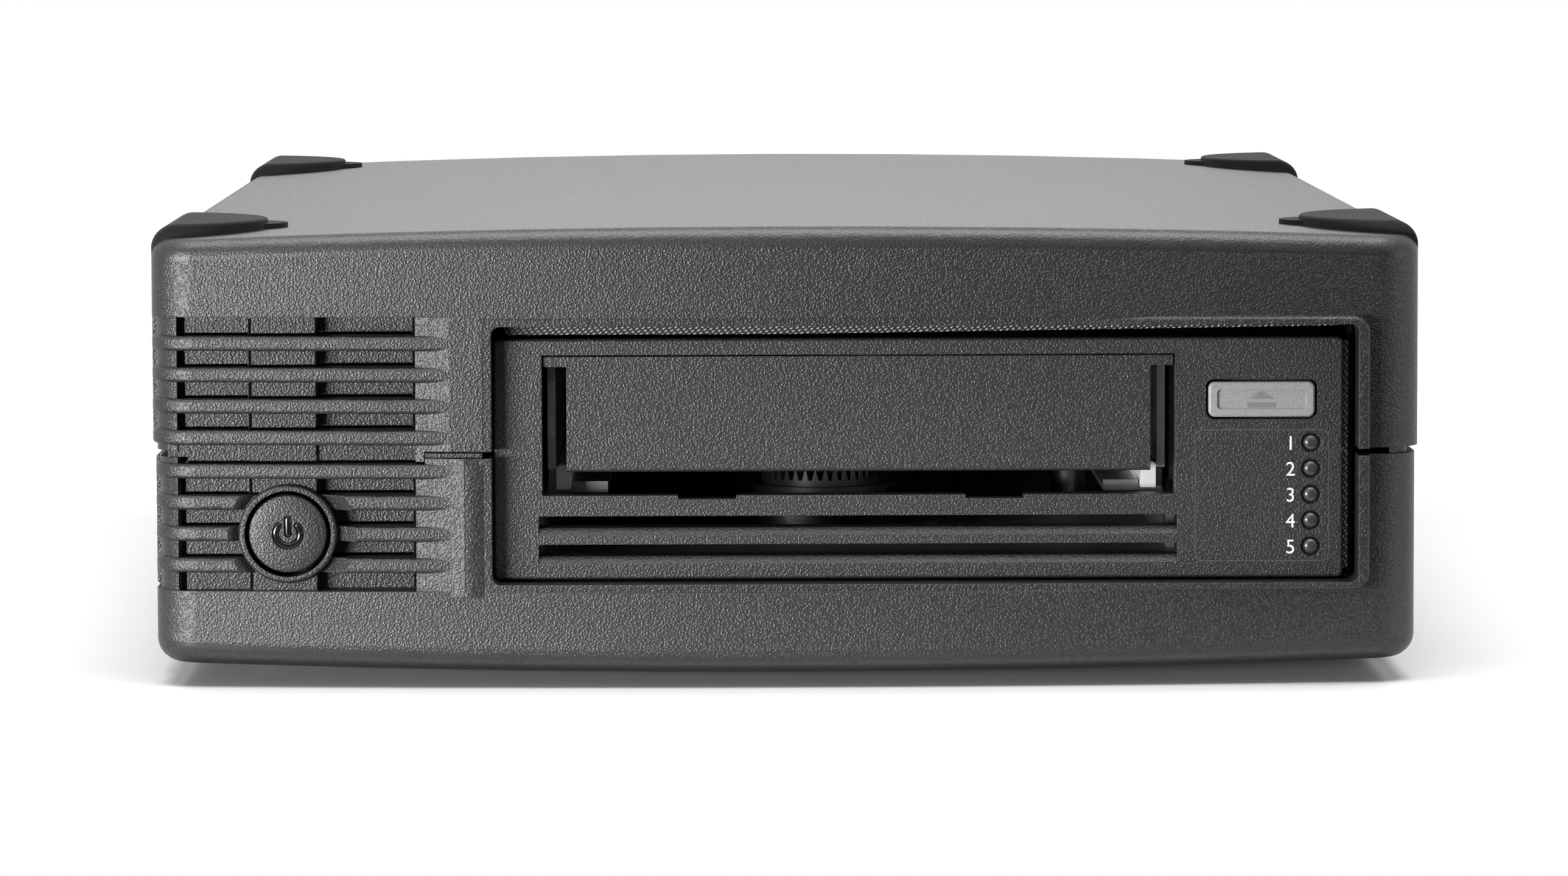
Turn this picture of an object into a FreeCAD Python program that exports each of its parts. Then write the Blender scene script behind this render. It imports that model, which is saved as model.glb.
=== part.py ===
"""Desktop half-height tape drive: a two-part moulded case around a 5.25-inch cartridge drive.

Millimetres. +Z is up, the front faces -Y and the origin is under the middle of the feet.
The driving dimensions are in the sheet "Dims"; an expression writes their names bare.
"""
import FreeCAD, Part
import math
import os
import re
import Sketcher
from FreeCAD import Placement, Rotation, Vector

doc = FreeCAD.newDocument("TapeDrive")
sheet = doc.addObject("Spreadsheet::Sheet", "Dims")

DIMENSIONS = (
    # case
    ("case_width", 222.6, "upper shell across its side walls"),
    ("lower_width", 221.6, "lower shell across its side walls"),
    ("case_front", -158.0, "middle of the bowed front"),
    ("case_back", 158.0, "rear edge of both shells"),
    ("top_z", 80.6, "crown of the top, at the middle"),
    ("bottom_z", 2.3, "crown of the underside, at the middle"),
    ("top_crown", 2.4, "rise of the top over its width"),
    ("bottom_crown", 1.75, "drop of the underside over its width"),
    ("front_bow", 5.0, "forward bow of the front over the width"),
    ("wall", 2.6, "shell thickness"),
    ("corner_round", 8.0, "upright front corners, in plan"),
    ("top_round", 3.0, "rolled edge round the top"),
    ("bottom_round", 4.2, "edge round the underside"),
    ("seam_low", 40.2, "top edge of the lower shell"),
    ("seam_high", 41.4, "bottom edge of the upper shell"),
    ("tongue_top", 43.0, "top of the locating tongue"),
    ("tongue_inset", 1.35, "tongue behind the outer surface"),
    ("rabbet_inset", 1.3, "upper shell's step that takes the tongue"),
    # opening for the drive and its raised lip
    ("open_left", -51.45, ""), ("open_right", 100.05, ""),
    ("open_low", 18.0, ""), ("open_high", 63.2, ""),
    ("lip_width", 1.5, "face of the lip"),
    ("lip_front", -156.8, "plane of the lip"),
    ("lip_back", -148.0, "rear end of the lip's tunnel"),
    # louvred corner
    ("vent_right", -56.25, ""), ("vent_low", 16.87, ""), ("vent_high", 64.95, ""),
    ("vent_side_end", -132.0, "where the louvres stop on the left wall"),
    ("vent_seam", 39.6, "joint of the recessed panels"),
    ("vent_back", -146.0, "rear of the recessed panels"),
    ("rib_height", 2.6, ""), ("rib_pitch", 5.5, ""), ("rib_skin", 0.8, ""),
    ("upper_rib_z", 43.8, "lowest rib of the upper shell"),
    ("lower_rib_z", 21.4, "lowest rib of the lower shell"),
    # power button
    ("power_x", -87.25, ""), ("power_z", 26.9, ""), ("power_radius", 6.9, ""),
    ("power_travel", 1.3, ""),
    # drive
    ("bezel_left", -51.25, ""), ("bezel_width", 149.0, ""), ("bezel_height", 42.2, ""),
    ("bezel_low", 18.5, ""), ("bezel_front", -151.8, ""), ("bezel_thick", 5.0, ""),
    ("bay_left", -42.75, ""), ("bay_right", 68.25, ""),
    ("bay_low", 33.2, ""), ("bay_high", 57.9, ""),
    ("hinge_y", -149.8, ""), ("hinge_z", 57.0, ""),
    ("drive_left", -49.75, ""), ("drive_right", 96.25, ""), ("drive_back", 58.0, ""),
    ("drive_floor", 18.9, ""), ("drive_top", 60.2, ""),
    ("hub_x", 6.85, "cartridge hub"), ("hub_y", -80.8, ""), ("hub_teeth", 36, ""),
    ("reel_x", 5.0, "take-up reel"), ("reel_y", 10.0, ""), ("reel_radius", 38.0, ""),
    # rear
    ("panel_front", 154.0, ""), ("panel_thick", 1.2, ""),
    ("fan_x", 66.0, ""), ("fan_z", 41.0, ""), ("fan_size", 60.0, ""),
)
for row, (alias, value, note) in enumerate(DIMENSIONS, 1):
    sheet.set("A%d" % row, alias)
    sheet.set("B%d" % row, str(value))
    sheet.set("C%d" % row, note)
    sheet.setAlias("B%d" % row, alias)
doc.recompute()
ALIASES = {alias for alias, value, note in DIMENSIONS}

# radii of the three large cylinders that shape the case
TOP_R = "((case_width / 2)^2 + top_crown^2) / (2 * top_crown)"
BOTTOM_R = "((case_width / 2)^2 + bottom_crown^2) / (2 * bottom_crown)"
BOW_R = "((case_width / 2)^2 + front_bow^2) / (2 * front_bow)"

# a cylinder's seam is turned away from the main planes, where other faces meet it
SEAM = Rotation(Vector(0, 0, 1), 37)
TURN = {"X": Rotation(Vector(0, 1, 0), 90) * SEAM, "Y": Rotation(Vector(1, 0, 0), -90) * SEAM,
        "Z": SEAM}
ACROSS = {"X": "yzx", "Y": "xzy", "Z": "xyz"}


# ---------------------------------------------------------------- helpers
def dim(alias):
    """Value of a sheet cell."""
    return float(sheet.get(alias))


def bind(obj, prop, expression):
    """Bind a property to an expression on the sheet."""
    text = re.sub(r"[A-Za-z_]\w*",
                  lambda m: "Dims." + m.group() if m.group() in ALIASES else m.group(),
                  str(expression))
    obj.setExpression(prop, text)


def box(name, x, y, z):
    """Block between a low and a high end on each axis."""
    obj = doc.addObject("Part::Box", name)
    for side, axis, (low, high) in (("Length", "x", x), ("Width", "y", y), ("Height", "z", z)):
        bind(obj, side, "(%s) - (%s)" % (high, low))
        bind(obj, "Placement.Base." + axis, low)
    return obj


def rod(name, axis, a, b, span, radius):
    """Cylinder along an axis; a and b are its other two coordinates in order."""
    obj = doc.addObject("Part::Cylinder", name)
    obj.Placement = Placement(Vector(), TURN[axis])
    bind(obj, "Radius", radius)
    bind(obj, "Height", "(%s) - (%s)" % (span[1], span[0]))
    for letter, expression in zip(ACROSS[axis], (a, b, span[0])):
        bind(obj, "Placement.Base." + letter, expression)
    return obj


def cone(name, axis, a, b, span, radius_low, radius_high):
    """Cone along an axis between two radii."""
    obj = doc.addObject("Part::Cone", name)
    obj.Placement = Placement(Vector(), TURN[axis])
    bind(obj, "Radius1", radius_low)
    bind(obj, "Radius2", radius_high)
    bind(obj, "Height", "(%s) - (%s)" % (span[1], span[0]))
    for letter, expression in zip(ACROSS[axis], (a, b, span[0])):
        bind(obj, "Placement.Base." + letter, expression)
    return obj


def tube(name, axis, a, b, span, radius, bore):
    """Round sleeve."""
    return cut(name, rod(name + "_outer", axis, a, b, span, radius),
               rod(name + "_bore", axis, a, b, span, bore))


def fuse(name, *pieces):
    obj = doc.addObject("Part::MultiFuse", name)
    obj.Shapes = list(pieces)
    return obj


def common(name, *pieces):
    obj = doc.addObject("Part::MultiCommon", name)
    obj.Shapes = list(pieces)
    return obj


def cut(name, base, *tools):
    """Take the tools away one after the other."""
    for i, tool in enumerate(tools, 1):
        obj = doc.addObject("Part::Cut", name if i == len(tools) else "%s_%d" % (name, i))
        obj.Base = base
        obj.Tool = tool
        base = obj
    return base


def group(name, *pieces):
    """Separate solids kept together, such as a set of screws."""
    obj = doc.addObject("Part::Compound", name)
    obj.Links = list(pieces)
    return obj


def mirror_x(name, source, about="0"):
    """Mirror image in a plane of constant X."""
    obj = doc.addObject("Part::Mirroring", name)
    obj.Source = source
    obj.Normal = Vector(1, 0, 0)
    bind(obj, "Base.x", about)
    return obj


def fillet(name, base, radius, pick):
    """Round the edges of base that pick accepts."""
    base.recompute(True)
    obj = doc.addObject("Part::Fillet", name)
    obj.Base = base
    obj.Edges = [(number, radius, radius)
                 for number, edge in enumerate(base.Shape.Edges, 1) if pick(edge)]
    return obj


def chamfer(name, base, size, pick):
    """Bevel the edges of base that pick accepts."""
    base.recompute(True)
    obj = doc.addObject("Part::Chamfer", name)
    obj.Base = base
    obj.Edges = [(number, size, size)
                 for number, edge in enumerate(base.Shape.Edges, 1) if pick(edge)]
    return obj


def runs_along(axis, edge):
    """True for a straight edge parallel to an axis."""
    if edge.Curve.TypeId != "Part::GeomLine":
        return False
    size = (edge.BoundBox.XLength, edge.BoundBox.YLength, edge.BoundBox.ZLength)
    return all(size[i] < 1e-6 for i in range(3) if "XYZ"[i] != axis)


def on_plane(axis, value, edge):
    """True for an edge that lies in a plane of constant X, Y or Z."""
    bounds = edge.BoundBox
    ends = {"X": (bounds.XMin, bounds.XMax), "Y": (bounds.YMin, bounds.YMax),
            "Z": (bounds.ZMin, bounds.ZMax)}[axis]
    return max(abs(ends[0] - value), abs(ends[1] - value)) < 1e-4


def outline(name, plane, points, body=None):
    """Closed sketch of straight lines whose corners are bound to expressions."""
    if body:
        sketch = body.newObject("Sketcher::SketchObject", name)
        origin = [f for f in body.Origin.OriginFeatures if f.Role == plane + "_Plane"][0]
        sketch.AttachmentSupport = [(origin, "")]
        sketch.MapMode = "FlatFace"
    else:
        sketch = doc.addObject("Sketcher::SketchObject", name)
        sketch.Placement = {"XY": Placement(),
                            "XZ": Placement(Vector(), Rotation(Vector(1, 0, 0), 90)),
                            "YZ": Placement(Vector(), Rotation(Vector(1, 1, 1), 120))}[plane]
    count = len(points)
    ring = [Vector(50 * math.cos(2 * math.pi * i / count),
                   50 * math.sin(2 * math.pi * i / count), 0) for i in range(count)]
    for i in range(count):
        sketch.addGeometry(Part.LineSegment(ring[i], ring[(i + 1) % count]))
    for i in range(count):
        sketch.addConstraint(Sketcher.Constraint("Coincident", i, 2, (i + 1) % count, 1))
    for i, point in enumerate(points):
        for kind, expression, start in zip(("DistanceX", "DistanceY"), point, ring[i]):
            number = sketch.addConstraint(Sketcher.Constraint(kind, -1, 1, i, 1, start))
            bind(sketch, "Constraints[%d]" % number, expression)
    return sketch


def prism(name, plane, points, span):
    """Straight-sided profile drawn in a plane and extruded between two distances."""
    sketch = outline(name + "_profile", plane, points)
    obj = doc.addObject("Part::Extrusion", name)
    obj.Base = sketch
    obj.DirMode = "Custom"
    normal, letter = {"XY": (Vector(0, 0, 1), "z"), "XZ": (Vector(0, 1, 0), "y"),
                      "YZ": (Vector(1, 0, 0), "x")}[plane]
    obj.Dir = normal
    obj.Solid = True
    bind(sketch, "Placement.Base." + letter, span[0])
    bind(obj, "LengthFwd", "(%s) - (%s)" % (span[1], span[0]))
    return obj


parts = {}


def part(name, obj):
    """Name a finished sub-part."""
    obj.Label = name
    parts[name] = obj
    return obj


# ---------------------------------------------------------------- case shells
def skin(name, width, inset, low, high):
    """Plan outline of the case: bowed front and rounded upright corners, set in by inset."""
    block = box(name + "_block", ("-%s / 2 + %s" % (width, inset), "%s / 2 - %s" % (width, inset)),
                ("case_front - 1", "case_back + %s" % inset), (low, high))
    bow = rod(name + "_bow", "Z", "0", "case_front + (%s)" % BOW_R,
              (low, high), "(%s) - %s" % (BOW_R, inset))
    plan = common(name + "_plan", block, bow)
    inset_size = dim(inset) if inset in ALIASES else float(inset)
    return fillet(name, plan, dim("corner_round") - inset_size,
                  lambda e: runs_along("Z", e) and e.CenterOfMass.y < -120)


def crown(name, side, inset):
    """Large cylinder along Y that crowns the top or the underside."""
    if side == "top":
        centre, radius = "top_z - (%s)" % TOP_R, "(%s) - %s" % (TOP_R, inset)
    else:
        centre, radius = "bottom_z + (%s)" % BOTTOM_R, "(%s) - %s" % (BOTTOM_R, inset)
    return rod(name, "Y", "0", centre, ("case_front - 20", "case_back + 20"), radius)


upper_block = common("upper_block", skin("upper_skin", "case_width", "0", "seam_high", "top_z + 1"),
                     crown("upper_crown", "top", "0"))
upper_outer = fillet("upper_outer", upper_block, dim("top_round"),
                     lambda e: e.BoundBox.ZMin > 75 and not on_plane("Y", dim("case_back"), e)
                     and not (runs_along("Y", e) and abs(e.CenterOfMass.x) < 50))
upper_cavity = common("upper_cavity",
                      skin("upper_inner", "case_width", "wall", "seam_high - 1", "top_z + 1"),
                      crown("upper_inner_crown", "top", "wall"))
lower_block = common("lower_block", skin("lower_skin", "lower_width", "0", "bottom_z - 1", "seam_low"),
                     crown("lower_crown", "bottom", "0"))
lower_outer = fillet("lower_outer", lower_block, dim("bottom_round"),
                     lambda e: e.BoundBox.ZMax < 10 and not on_plane("Y", dim("case_back"), e)
                     and not (runs_along("Y", e) and abs(e.CenterOfMass.x) < 50))
lower_cavity = common("lower_cavity",
                      skin("lower_inner", "lower_width", "wall", "bottom_z - 1", "tongue_top + 1"),
                      crown("lower_inner_crown", "bottom", "wall"))
lower_tongued = fuse("lower_tongued", lower_outer,
                     cut("tongue", skin("tongue_block", "lower_width", "tongue_inset",
                                        "seam_low - 0.5", "tongue_top"),
                         *[box("tongue_gap%d" % i, x, y, ("seam_low - 0.6", "tongue_top + 1"))
                           for i, (x, y) in enumerate((
                               (("-113", "vent_right"), ("case_front - 2", "vent_side_end")),
                               (("vent_right - 1", "105.9"), ("case_front - 2", "-145")),
                               (("-113", "113"), ("panel_front - 1.8", "case_back + 2"))))]))

OPENING_X, OPENING_Z = ("open_left", "open_right"), ("open_low", "open_high")
LIP_X = ("open_left - lip_width", "open_right + 2.0")
LIP_Z = ("open_low - 1.35", "open_high + 1.4")


def lip(name, low, high, keep_low, keep_high):
    """Half of the raised lip and its tunnel round the drive opening."""
    frame = box(name + "_frame", LIP_X, ("lip_front", "lip_back"), (low, high))
    keep = [z for z in (keep_low, keep_high) if z is not None][0]
    rounded = fillet(name + "_corners", frame, 3.0,
                     lambda e: runs_along("Y", e) and abs(e.CenterOfMass.z - keep) < 0.01)
    return fillet(name + "_edge", rounded, 0.7,
                  lambda e: on_plane("Y", dim("lip_front"), e)
                  and not (runs_along("X", e) and abs(e.CenterOfMass.z - keep) > 3))


def opening(name):
    """Mouth of the drive opening with its rounded corners."""
    mouth = box(name + "_mouth", OPENING_X, ("case_front - 5", "lip_back + 2"), OPENING_Z)
    return fillet(name, mouth, 1.5, lambda e: runs_along("Y", e))


def vent_cut(name, outer, width, low, high):
    """Everything in front of the recessed panels and the skin that the louvres stand on."""
    through = box(name + "_through", ("-106.55", "vent_right"), ("case_front - 2", "-150.0"),
                  (low, high))
    corner = box(name + "_corner", ("-case_width / 2 - 2", "-106.5"),
                 ("case_front - 2", "vent_side_end"), (low, high))
    core = skin(name + "_core", width, "rib_skin", low, high)
    return fuse(name, through, cut(name + "_relief", corner, core))


def vent_panels(name, outer, low, high, shelf, extras):
    """Stepped panels behind the louvres, the ramp at their right and the shelf that ends them."""
    span = (low, high)
    steps = [
        box(name + "_left", ("-105.25", "-93.45"), ("-150.4", "vent_back"), span),
        box(name + "_column", ("-93.45", "-82.25"), ("-152.6", "vent_back"), span),
        box(name + "_deep", ("-82.25", "-64.75"), ("-148.8", "vent_back"), span),
        prism(name + "_ramp", "XY",
              [("-64.75", "vent_back"), ("-64.75", "case_front + 2.6"), ("-57.8", "case_front + 1.2"),
               ("vent_right", "case_front + 0.8"), ("vent_right + 2.5", "case_front + 1.1"),
               ("vent_right + 2.5", "vent_back")], span),
        box(name + "_shelf", ("-107.8", "vent_right + 2.5"), ("-156.4", "vent_back"), shelf),
        box(name + "_post", ("-108.6", "-106.55"), ("-147.8", "vent_back"), span),
    ]
    return common(name, fuse(name + "_steps", *(steps + extras)), outer)


def ribs(name, outer, first, count):
    """Louvres that wrap the front corner, with rounded edges, trimmed behind the panels."""
    bars = []
    for i in range(count):
        middle = "%s + %d * rib_pitch" % (first, i)
        z = dim(first) + i * dim("rib_pitch")
        slab = box("%s_slab%d" % (name, i), ("-case_width / 2 - 2", "vent_right + 1"),
                   ("case_front - 2", "vent_side_end - 1"),
                   ("%s - rib_height / 2" % middle, "%s + rib_height / 2" % middle))
        bar = fillet("%s_bar%d" % (name, i), common("%s_band%d" % (name, i), slab, outer), 0.7,
                     lambda e: (on_plane("Z", z - dim("rib_height") / 2, e)
                                or on_plane("Z", z + dim("rib_height") / 2, e))
                     and e.BoundBox.YMin < dim("vent_side_end") - 1.1
                     and e.BoundBox.XMin < dim("vent_right") + 0.9)
        behind = box("%s_behind%d" % (name, i), ("-107.6", "vent_right + 5"),
                     ("-148.5", "vent_side_end + 1"), ("%s - 3" % middle, "%s + 3" % middle))
        bars.append(cut("%s_rib%d" % (name, i), bar, behind))
    return bars


def air_gaps(name, first, count):
    """Narrow gaps through the panels just above each louvre."""
    return [box("%s_gap%d" % (name, i), ("-106", "-65.2"), ("-155", "vent_back + 1"),
                ("%s + %d * rib_pitch + rib_height / 2 - 0.2" % (first, i),
                 "%s + %d * rib_pitch + rib_height / 2 + 0.4" % (first, i))) for i in range(count)]


def side_panel(name, width, low, high):
    """Raised field on the left wall behind the louvres, with bevelled ends."""
    block = box(name + "_block", ("-%s / 2 - 1.1" % width, "-%s / 2 + 1" % width),
                ("vent_side_end + 0.1", "60"), (low, high))
    return chamfer(name, block, 0.9, lambda e: runs_along("Y", e)
                   and e.CenterOfMass.x < -dim(width) / 2 - 1)


def screw_posts(name, low, high, radius, bore, bore_low):
    """Four screw columns inside a shell."""
    posts, bores = [], []
    for i, (x, y) in enumerate(SCREW_PLACES):
        posts.append(rod("%s_post%d" % (name, i), "Z", x, y, (low, high), radius))
        bores.append(rod("%s_bore%d" % (name, i), "Z", x, y, (bore_low, high + " + 1"), bore))
    return posts, bores


SCREW_PLACES = [(x, y) for x in ("-102.4", "104") for y in ("-120", "128")]


def panel_rims(name, outer, cavity_width, side, low, high):
    """Two ribs inside a shell that hold the edge of the rear panel."""
    rims = []
    for i, span in enumerate((("panel_front - 1.6", "panel_front"),
                              ("panel_front + panel_thick", "panel_front + panel_thick + 1.5"))):
        ring = box("%s_ring%d" % (name, i), ("-113", "113"), span, (low, high))
        inside = common("%s_inside%d" % (name, i),
                        box("%s_core%d" % (name, i),
                            ("-%s / 2 + wall + 1.6" % cavity_width, "%s / 2 - wall - 1.6" % cavity_width),
                            ("panel_front - 5", "panel_front + 5"), (low, high)),
                        crown("%s_arch%d" % (name, i), side, "(wall + 1.6)"))
        rims.append(common("%s_rim%d" % (name, i), outer,
                           cut("%s_band%d" % (name, i), ring, inside)))
    return rims


# corner pads: round-ended rubber pads let into the top and down over its side edge
PAD_Y = {"front": "-123.5", "rear": "131.5"}


def pad_form(name, y, top, tongue_top, rounding):
    """Left pad as a full block; the same form, taller, cuts its seat."""
    block = box(name + "_block", ("-case_width / 2", "-92"), ("%s - 26" % y, "%s + 26" % y),
                ("75.6", top))
    if rounding:
        block = fillet(name + "_roll", block, 4.2,
                       lambda e: runs_along("Y", e) and e.CenterOfMass.x < -110
                       and e.CenterOfMass.z > 80)
    disc = common(name + "_disc", block,
                  rod(name + "_round", "Z", "-116.25", y, ("70", "90"), "24"))
    if rounding:
        disc = fillet(name + "_lip", disc, 0.5,
                      lambda e: on_plane("Z", dim("top_z") + 0.2, e) and not runs_along("Y", e))
    disc = common(name + "_trimmed", disc, skin(name + "_trim", "case_width", "0", "70", "90"))
    tongue = rod(name + "_tongue", "Z", "-96.85", "%s + 2.7" % y, ("77", tongue_top), "8")
    under = box(name + "_under", ("-108.9", "-80"), ("%s - 30" % y, "%s + 30" % y), ("70", "77"))
    return cut(name, fuse(name + "_body", disc, tongue), under)


pads, seats = {}, []
for end in ("front", "rear"):
    left = pad_form("pad_%s" % end, PAD_Y[end], "top_z + 0.2", "79.9", True)
    seat = pad_form("seat_%s" % end, PAD_Y[end], "top_z + 5", "top_z + 5", False)
    pads[end, "left"], pads[end, "right"] = left, mirror_x("pad_%s_mirror" % end, left)
    seats += [seat, mirror_x("seat_%s_mirror" % end, seat)]


# ---------------------------------------------------------------- upper shell
upper_rabbet = skin("upper_rabbet", "case_width", "rabbet_inset", "seam_high - 1", "tongue_top + 0.1")
lip_clear = box("lip_clear", LIP_X, ("case_front - 5", "lip_front"), LIP_Z)
upper_shell = cut("upper_shell", upper_outer, upper_cavity, upper_rabbet, lip_clear,
                  vent_cut("upper_vent", upper_outer, "case_width", "seam_high - 1", "vent_high"))
UPPER_VENT = skin("upper_vent_bound", "case_width", "0", "vent_seam", "top_z - 6")
upper_posts, upper_bores = screw_posts("upper_screw", "40.4", "76.5", "2.9", "1.5", "40")
upper_strip = box("upper_strip", ("-108.3", "-64"), ("-151.6", "vent_back"), ("vent_seam", "upper_rib_z"))
upper_panels = cut("upper_panels_clear",
                   vent_panels("upper_panels", UPPER_VENT, "vent_seam", "vent_high",
                               ("vent_high", "vent_high + 2.5"), [upper_strip]),
                   box("upper_panels_corner", ("-113", "-104.8"), ("-158", "-145"),
                       ("vent_seam - 1", "seam_low + 0.1")),
                   box("upper_panels_end", ("-63.2", "vent_right + 3"), ("-160", "-145"),
                       ("vent_seam - 1", "seam_high")),
                   *air_gaps("upper", "upper_rib_z", 4))
upper_whole = fuse("upper_whole", upper_shell,
                   lip("upper_lip", "seam_high", "open_high + 1.4", None,
                       dim("open_high") + 1.4),
                   upper_panels,
                   side_panel("upper_side_panel", "case_width", "seam_high + 0.4", "75.3"),
                   *(ribs("upper", UPPER_VENT, "upper_rib_z", 4) + upper_posts
                     + panel_rims("upper", upper_outer, "case_width", "top",
                                  "seam_high", "top_z")))
part("top_cover", cut("top_cover_form", upper_whole, opening("upper_opening"),
                      *(upper_bores + seats)))

# ---------------------------------------------------------------- lower shell
LOWER_VENT = skin("lower_vent_bound", "lower_width", "0", "vent_low - 3", "seam_low")
button_boss = fillet("button_boss",
                     rod("button_boss_ring", "Y", "power_x", "power_z", ("-154.2", "vent_back"), "8.65"),
                     0.6, lambda e: on_plane("Y", -154.2, e))
# the three louvres beside the button end in a cone round its boss
scoop_cone = cone("scoop_cone", "Y", "power_x", "power_z", ("-158.6", "-151.5"), "15.5", "7.6")
scoop_core = rod("scoop_core", "Y", "power_x", "power_z", ("-156", "-140"), "8.1")
lower_ribs = [cut("scooped_%s" % bar.Name, bar, scoop_core, scoop_cone) if i < 3 else bar
              for i, bar in enumerate(ribs("lower", LOWER_VENT, "lower_rib_z", 4))]
# the ramp's top carries on above the panels, with a narrow strip set back in the seam over it
ramp_top = prism("lower_ramp_top", "XY",
                 [("-63.1", "vent_back"), ("-63.1", "case_front + 2.27"), ("-57.8", "case_front + 1.2"),
                  ("vent_right", "case_front + 0.8"), ("vent_right + 2.5", "case_front + 1.1"),
                  ("vent_right + 2.5", "vent_back")], ("vent_seam - 1", "seam_low"))
lower_panels = cut("lower_panels_clear",
                   vent_panels("lower_panels", LOWER_VENT, "vent_low", "vent_seam - 0.1",
                               ("vent_low - 2.5", "vent_low"), [ramp_top]),
                   box("lower_panels_top", ("-104.8", "-63.1"), ("-160", "-145"),
                       ("vent_seam - 0.5", "seam_high")),
                   *air_gaps("lower", "lower_rib_z", 3))
seam_strip = prism("seam_strip", "XY", [("-63.0", "-150"), ("-63.0", "-156.0"), ("-53.1", "-156.45"),
                                        ("-53.1", "-150")], ("seam_low + 0.2", "seam_high - 0.25"))
seam_strip_base = box("seam_strip_base", ("-63.0", "-53.1"), ("-155", "-150"),
                      ("seam_low - 0.6", "seam_low + 0.5"))
FOOT_PLACES = [(x, y) for x in ("-92", "92") for y in ("-100", "128")]
foot_seats = [rod("foot_seat%d" % i, "Z", x, y, ("-1", "5.0"), "8.1")
              for i, (x, y) in enumerate(FOOT_PLACES)]
lower_posts, lower_bores = screw_posts("lower_screw", "5.5", "40.2", "4.0", "1.7", "0")
lower_wells = [rod("lower_well%d" % i, "Z", x, y, ("0", "30"), "3.2")
               for i, (x, y) in enumerate(SCREW_PLACES)]
cradle_posts = [rod("cradle_post%d" % i, "Z", x, y, ("4.6", "17.3"), "4")
                for i, (x, y) in enumerate([(x, y) for x in ("-44", "90") for y in ("-130", "50")])]
supply_posts = [rod("supply_post%d" % i, "Z", x, y, ("4.6", "12"), "3.4")
                for i, (x, y) in enumerate([(x, y) for x in ("-93", "-61") for y in ("-94", "56")])]
board_posts = [rod("button_board_post%d" % i, "Y", x, z, ("-147", "-135.6"), "1.8")
               for i, (x, z) in enumerate((("-95.5", "19"), ("-79", "37")))]
lower_shell = cut("lower_shell", lower_tongued, lower_cavity,
                  box("lip_clear_low", LIP_X, ("case_front - 5", "lip_front"), LIP_Z),
                  vent_cut("lower_vent", lower_outer, "lower_width", "vent_low", "seam_low + 1"))
lower_whole = fuse("lower_whole", lower_shell, button_boss,
                   lip("lower_lip", "open_low - 1.35", "seam_low", dim("open_low") - 1.35, None),
                   lower_panels, seam_strip, seam_strip_base,
                   side_panel("lower_side_panel", "lower_width", "15.6", "seam_low - 0.4"),
                   side_panel("low_side_panel", "lower_width", "8.6", "14.2"),
                   *(lower_ribs + lower_posts + cradle_posts + supply_posts + board_posts
                     + [rod("foot_pad%d" % i, "Z", x, y, ("4.0", "7.2"), "9.5")
                        for i, (x, y) in enumerate(FOOT_PLACES)]
                     + panel_rims("lower", lower_outer, "lower_width", "bottom",
                                  "bottom_z", "seam_low")))
button_hole = rod("button_hole", "Y", "power_x", "power_z", ("-160", "-140"), "power_radius + 0.67")
part("bottom_cover", cut("bottom_cover_form", lower_whole, opening("lower_opening"), button_hole,
                         *(lower_bores + lower_wells + foot_seats)))

for (end, side), pad in pads.items():
    part("pad_%s_%s" % (end, side), pad)
for i, (x, y) in enumerate(FOOT_PLACES):
    foot = fillet("foot%d" % i, rod("foot_disc%d" % i, "Z", x, y, ("0", "5.0"), "8"), 0.8,
                  lambda e: on_plane("Z", 0, e))
    part("foot_%s_%s" % ("front" if y.startswith("-") else "rear",
                         "left" if x.startswith("-") else "right"), foot)
part("case_screws", group("case_screw_set", *[
    fuse("case_screw%d" % i, rod("case_screw_head%d" % i, "Z", x, y, ("27.9", "30"), "2.9"),
         rod("case_screw_shank%d" % i, "Z", x, y, ("30", "52"), "1.45"))
    for i, (x, y) in enumerate(SCREW_PLACES)]))

# ---------------------------------------------------------------- rear panel and its fittings
INLET_X, INLET_Z = "-72", "32"
PORT_X, PORT_Z = "-12", "44"
panel_sheet = common("panel_sheet",
                     box("panel_block", ("-lower_width / 2 + wall + 0.15", "lower_width / 2 - wall - 0.15"),
                         ("panel_front", "panel_front + panel_thick"), ("bottom_z", "top_z")),
                     crown("panel_top", "top", "(wall + 0.1)"),
                     crown("panel_bottom", "bottom", "(wall + 0.1)"))
grille = common("fan_grille",
                rod("grille_round", "Y", "fan_x", "fan_z", ("150", "160"), "27"),
                fuse("grille_slots", *[
                    box("grille_slot%d" % i, ("fan_x - 30", "fan_x + 30"), ("150", "160"),
                        ("fan_z - 24.4 + %d * 5.2" % i, "fan_z - 24.4 + %d * 5.2 + 3.4" % i))
                    for i in range(9) if i != 4]))
fan_corners = [(dx, dz) for dx in ("-25", "+25") for dz in ("-25", "+25")]
panel_holes = [rod("panel_hole%d" % i, "Y", "fan_x" + dx, "fan_z" + dz, ("150", "160"), "1.9")
               for i, (dx, dz) in enumerate(fan_corners)]
inlet_hole = box("inlet_hole", (INLET_X + " - 13.8", INLET_X + " + 13.8"), ("150", "160"),
                 (INLET_Z + " - 10.3", INLET_Z + " + 10.3"))
port_hole = box("port_hole", (PORT_X + " - 13", PORT_X + " + 13"), ("150", "160"),
                (PORT_Z + " - 5.2", PORT_Z + " + 5.2"))
inlet_screw_holes = [rod("inlet_screw_hole%d" % i, "Y", INLET_X + dx, INLET_Z, ("150", "160"), "1.6")
                     for i, dx in enumerate((" - 20", " + 20"))]
part("rear_panel", cut("rear_panel_sheet", panel_sheet, grille, inlet_hole, port_hole,
                       *(panel_holes + inlet_screw_holes)))

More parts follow.
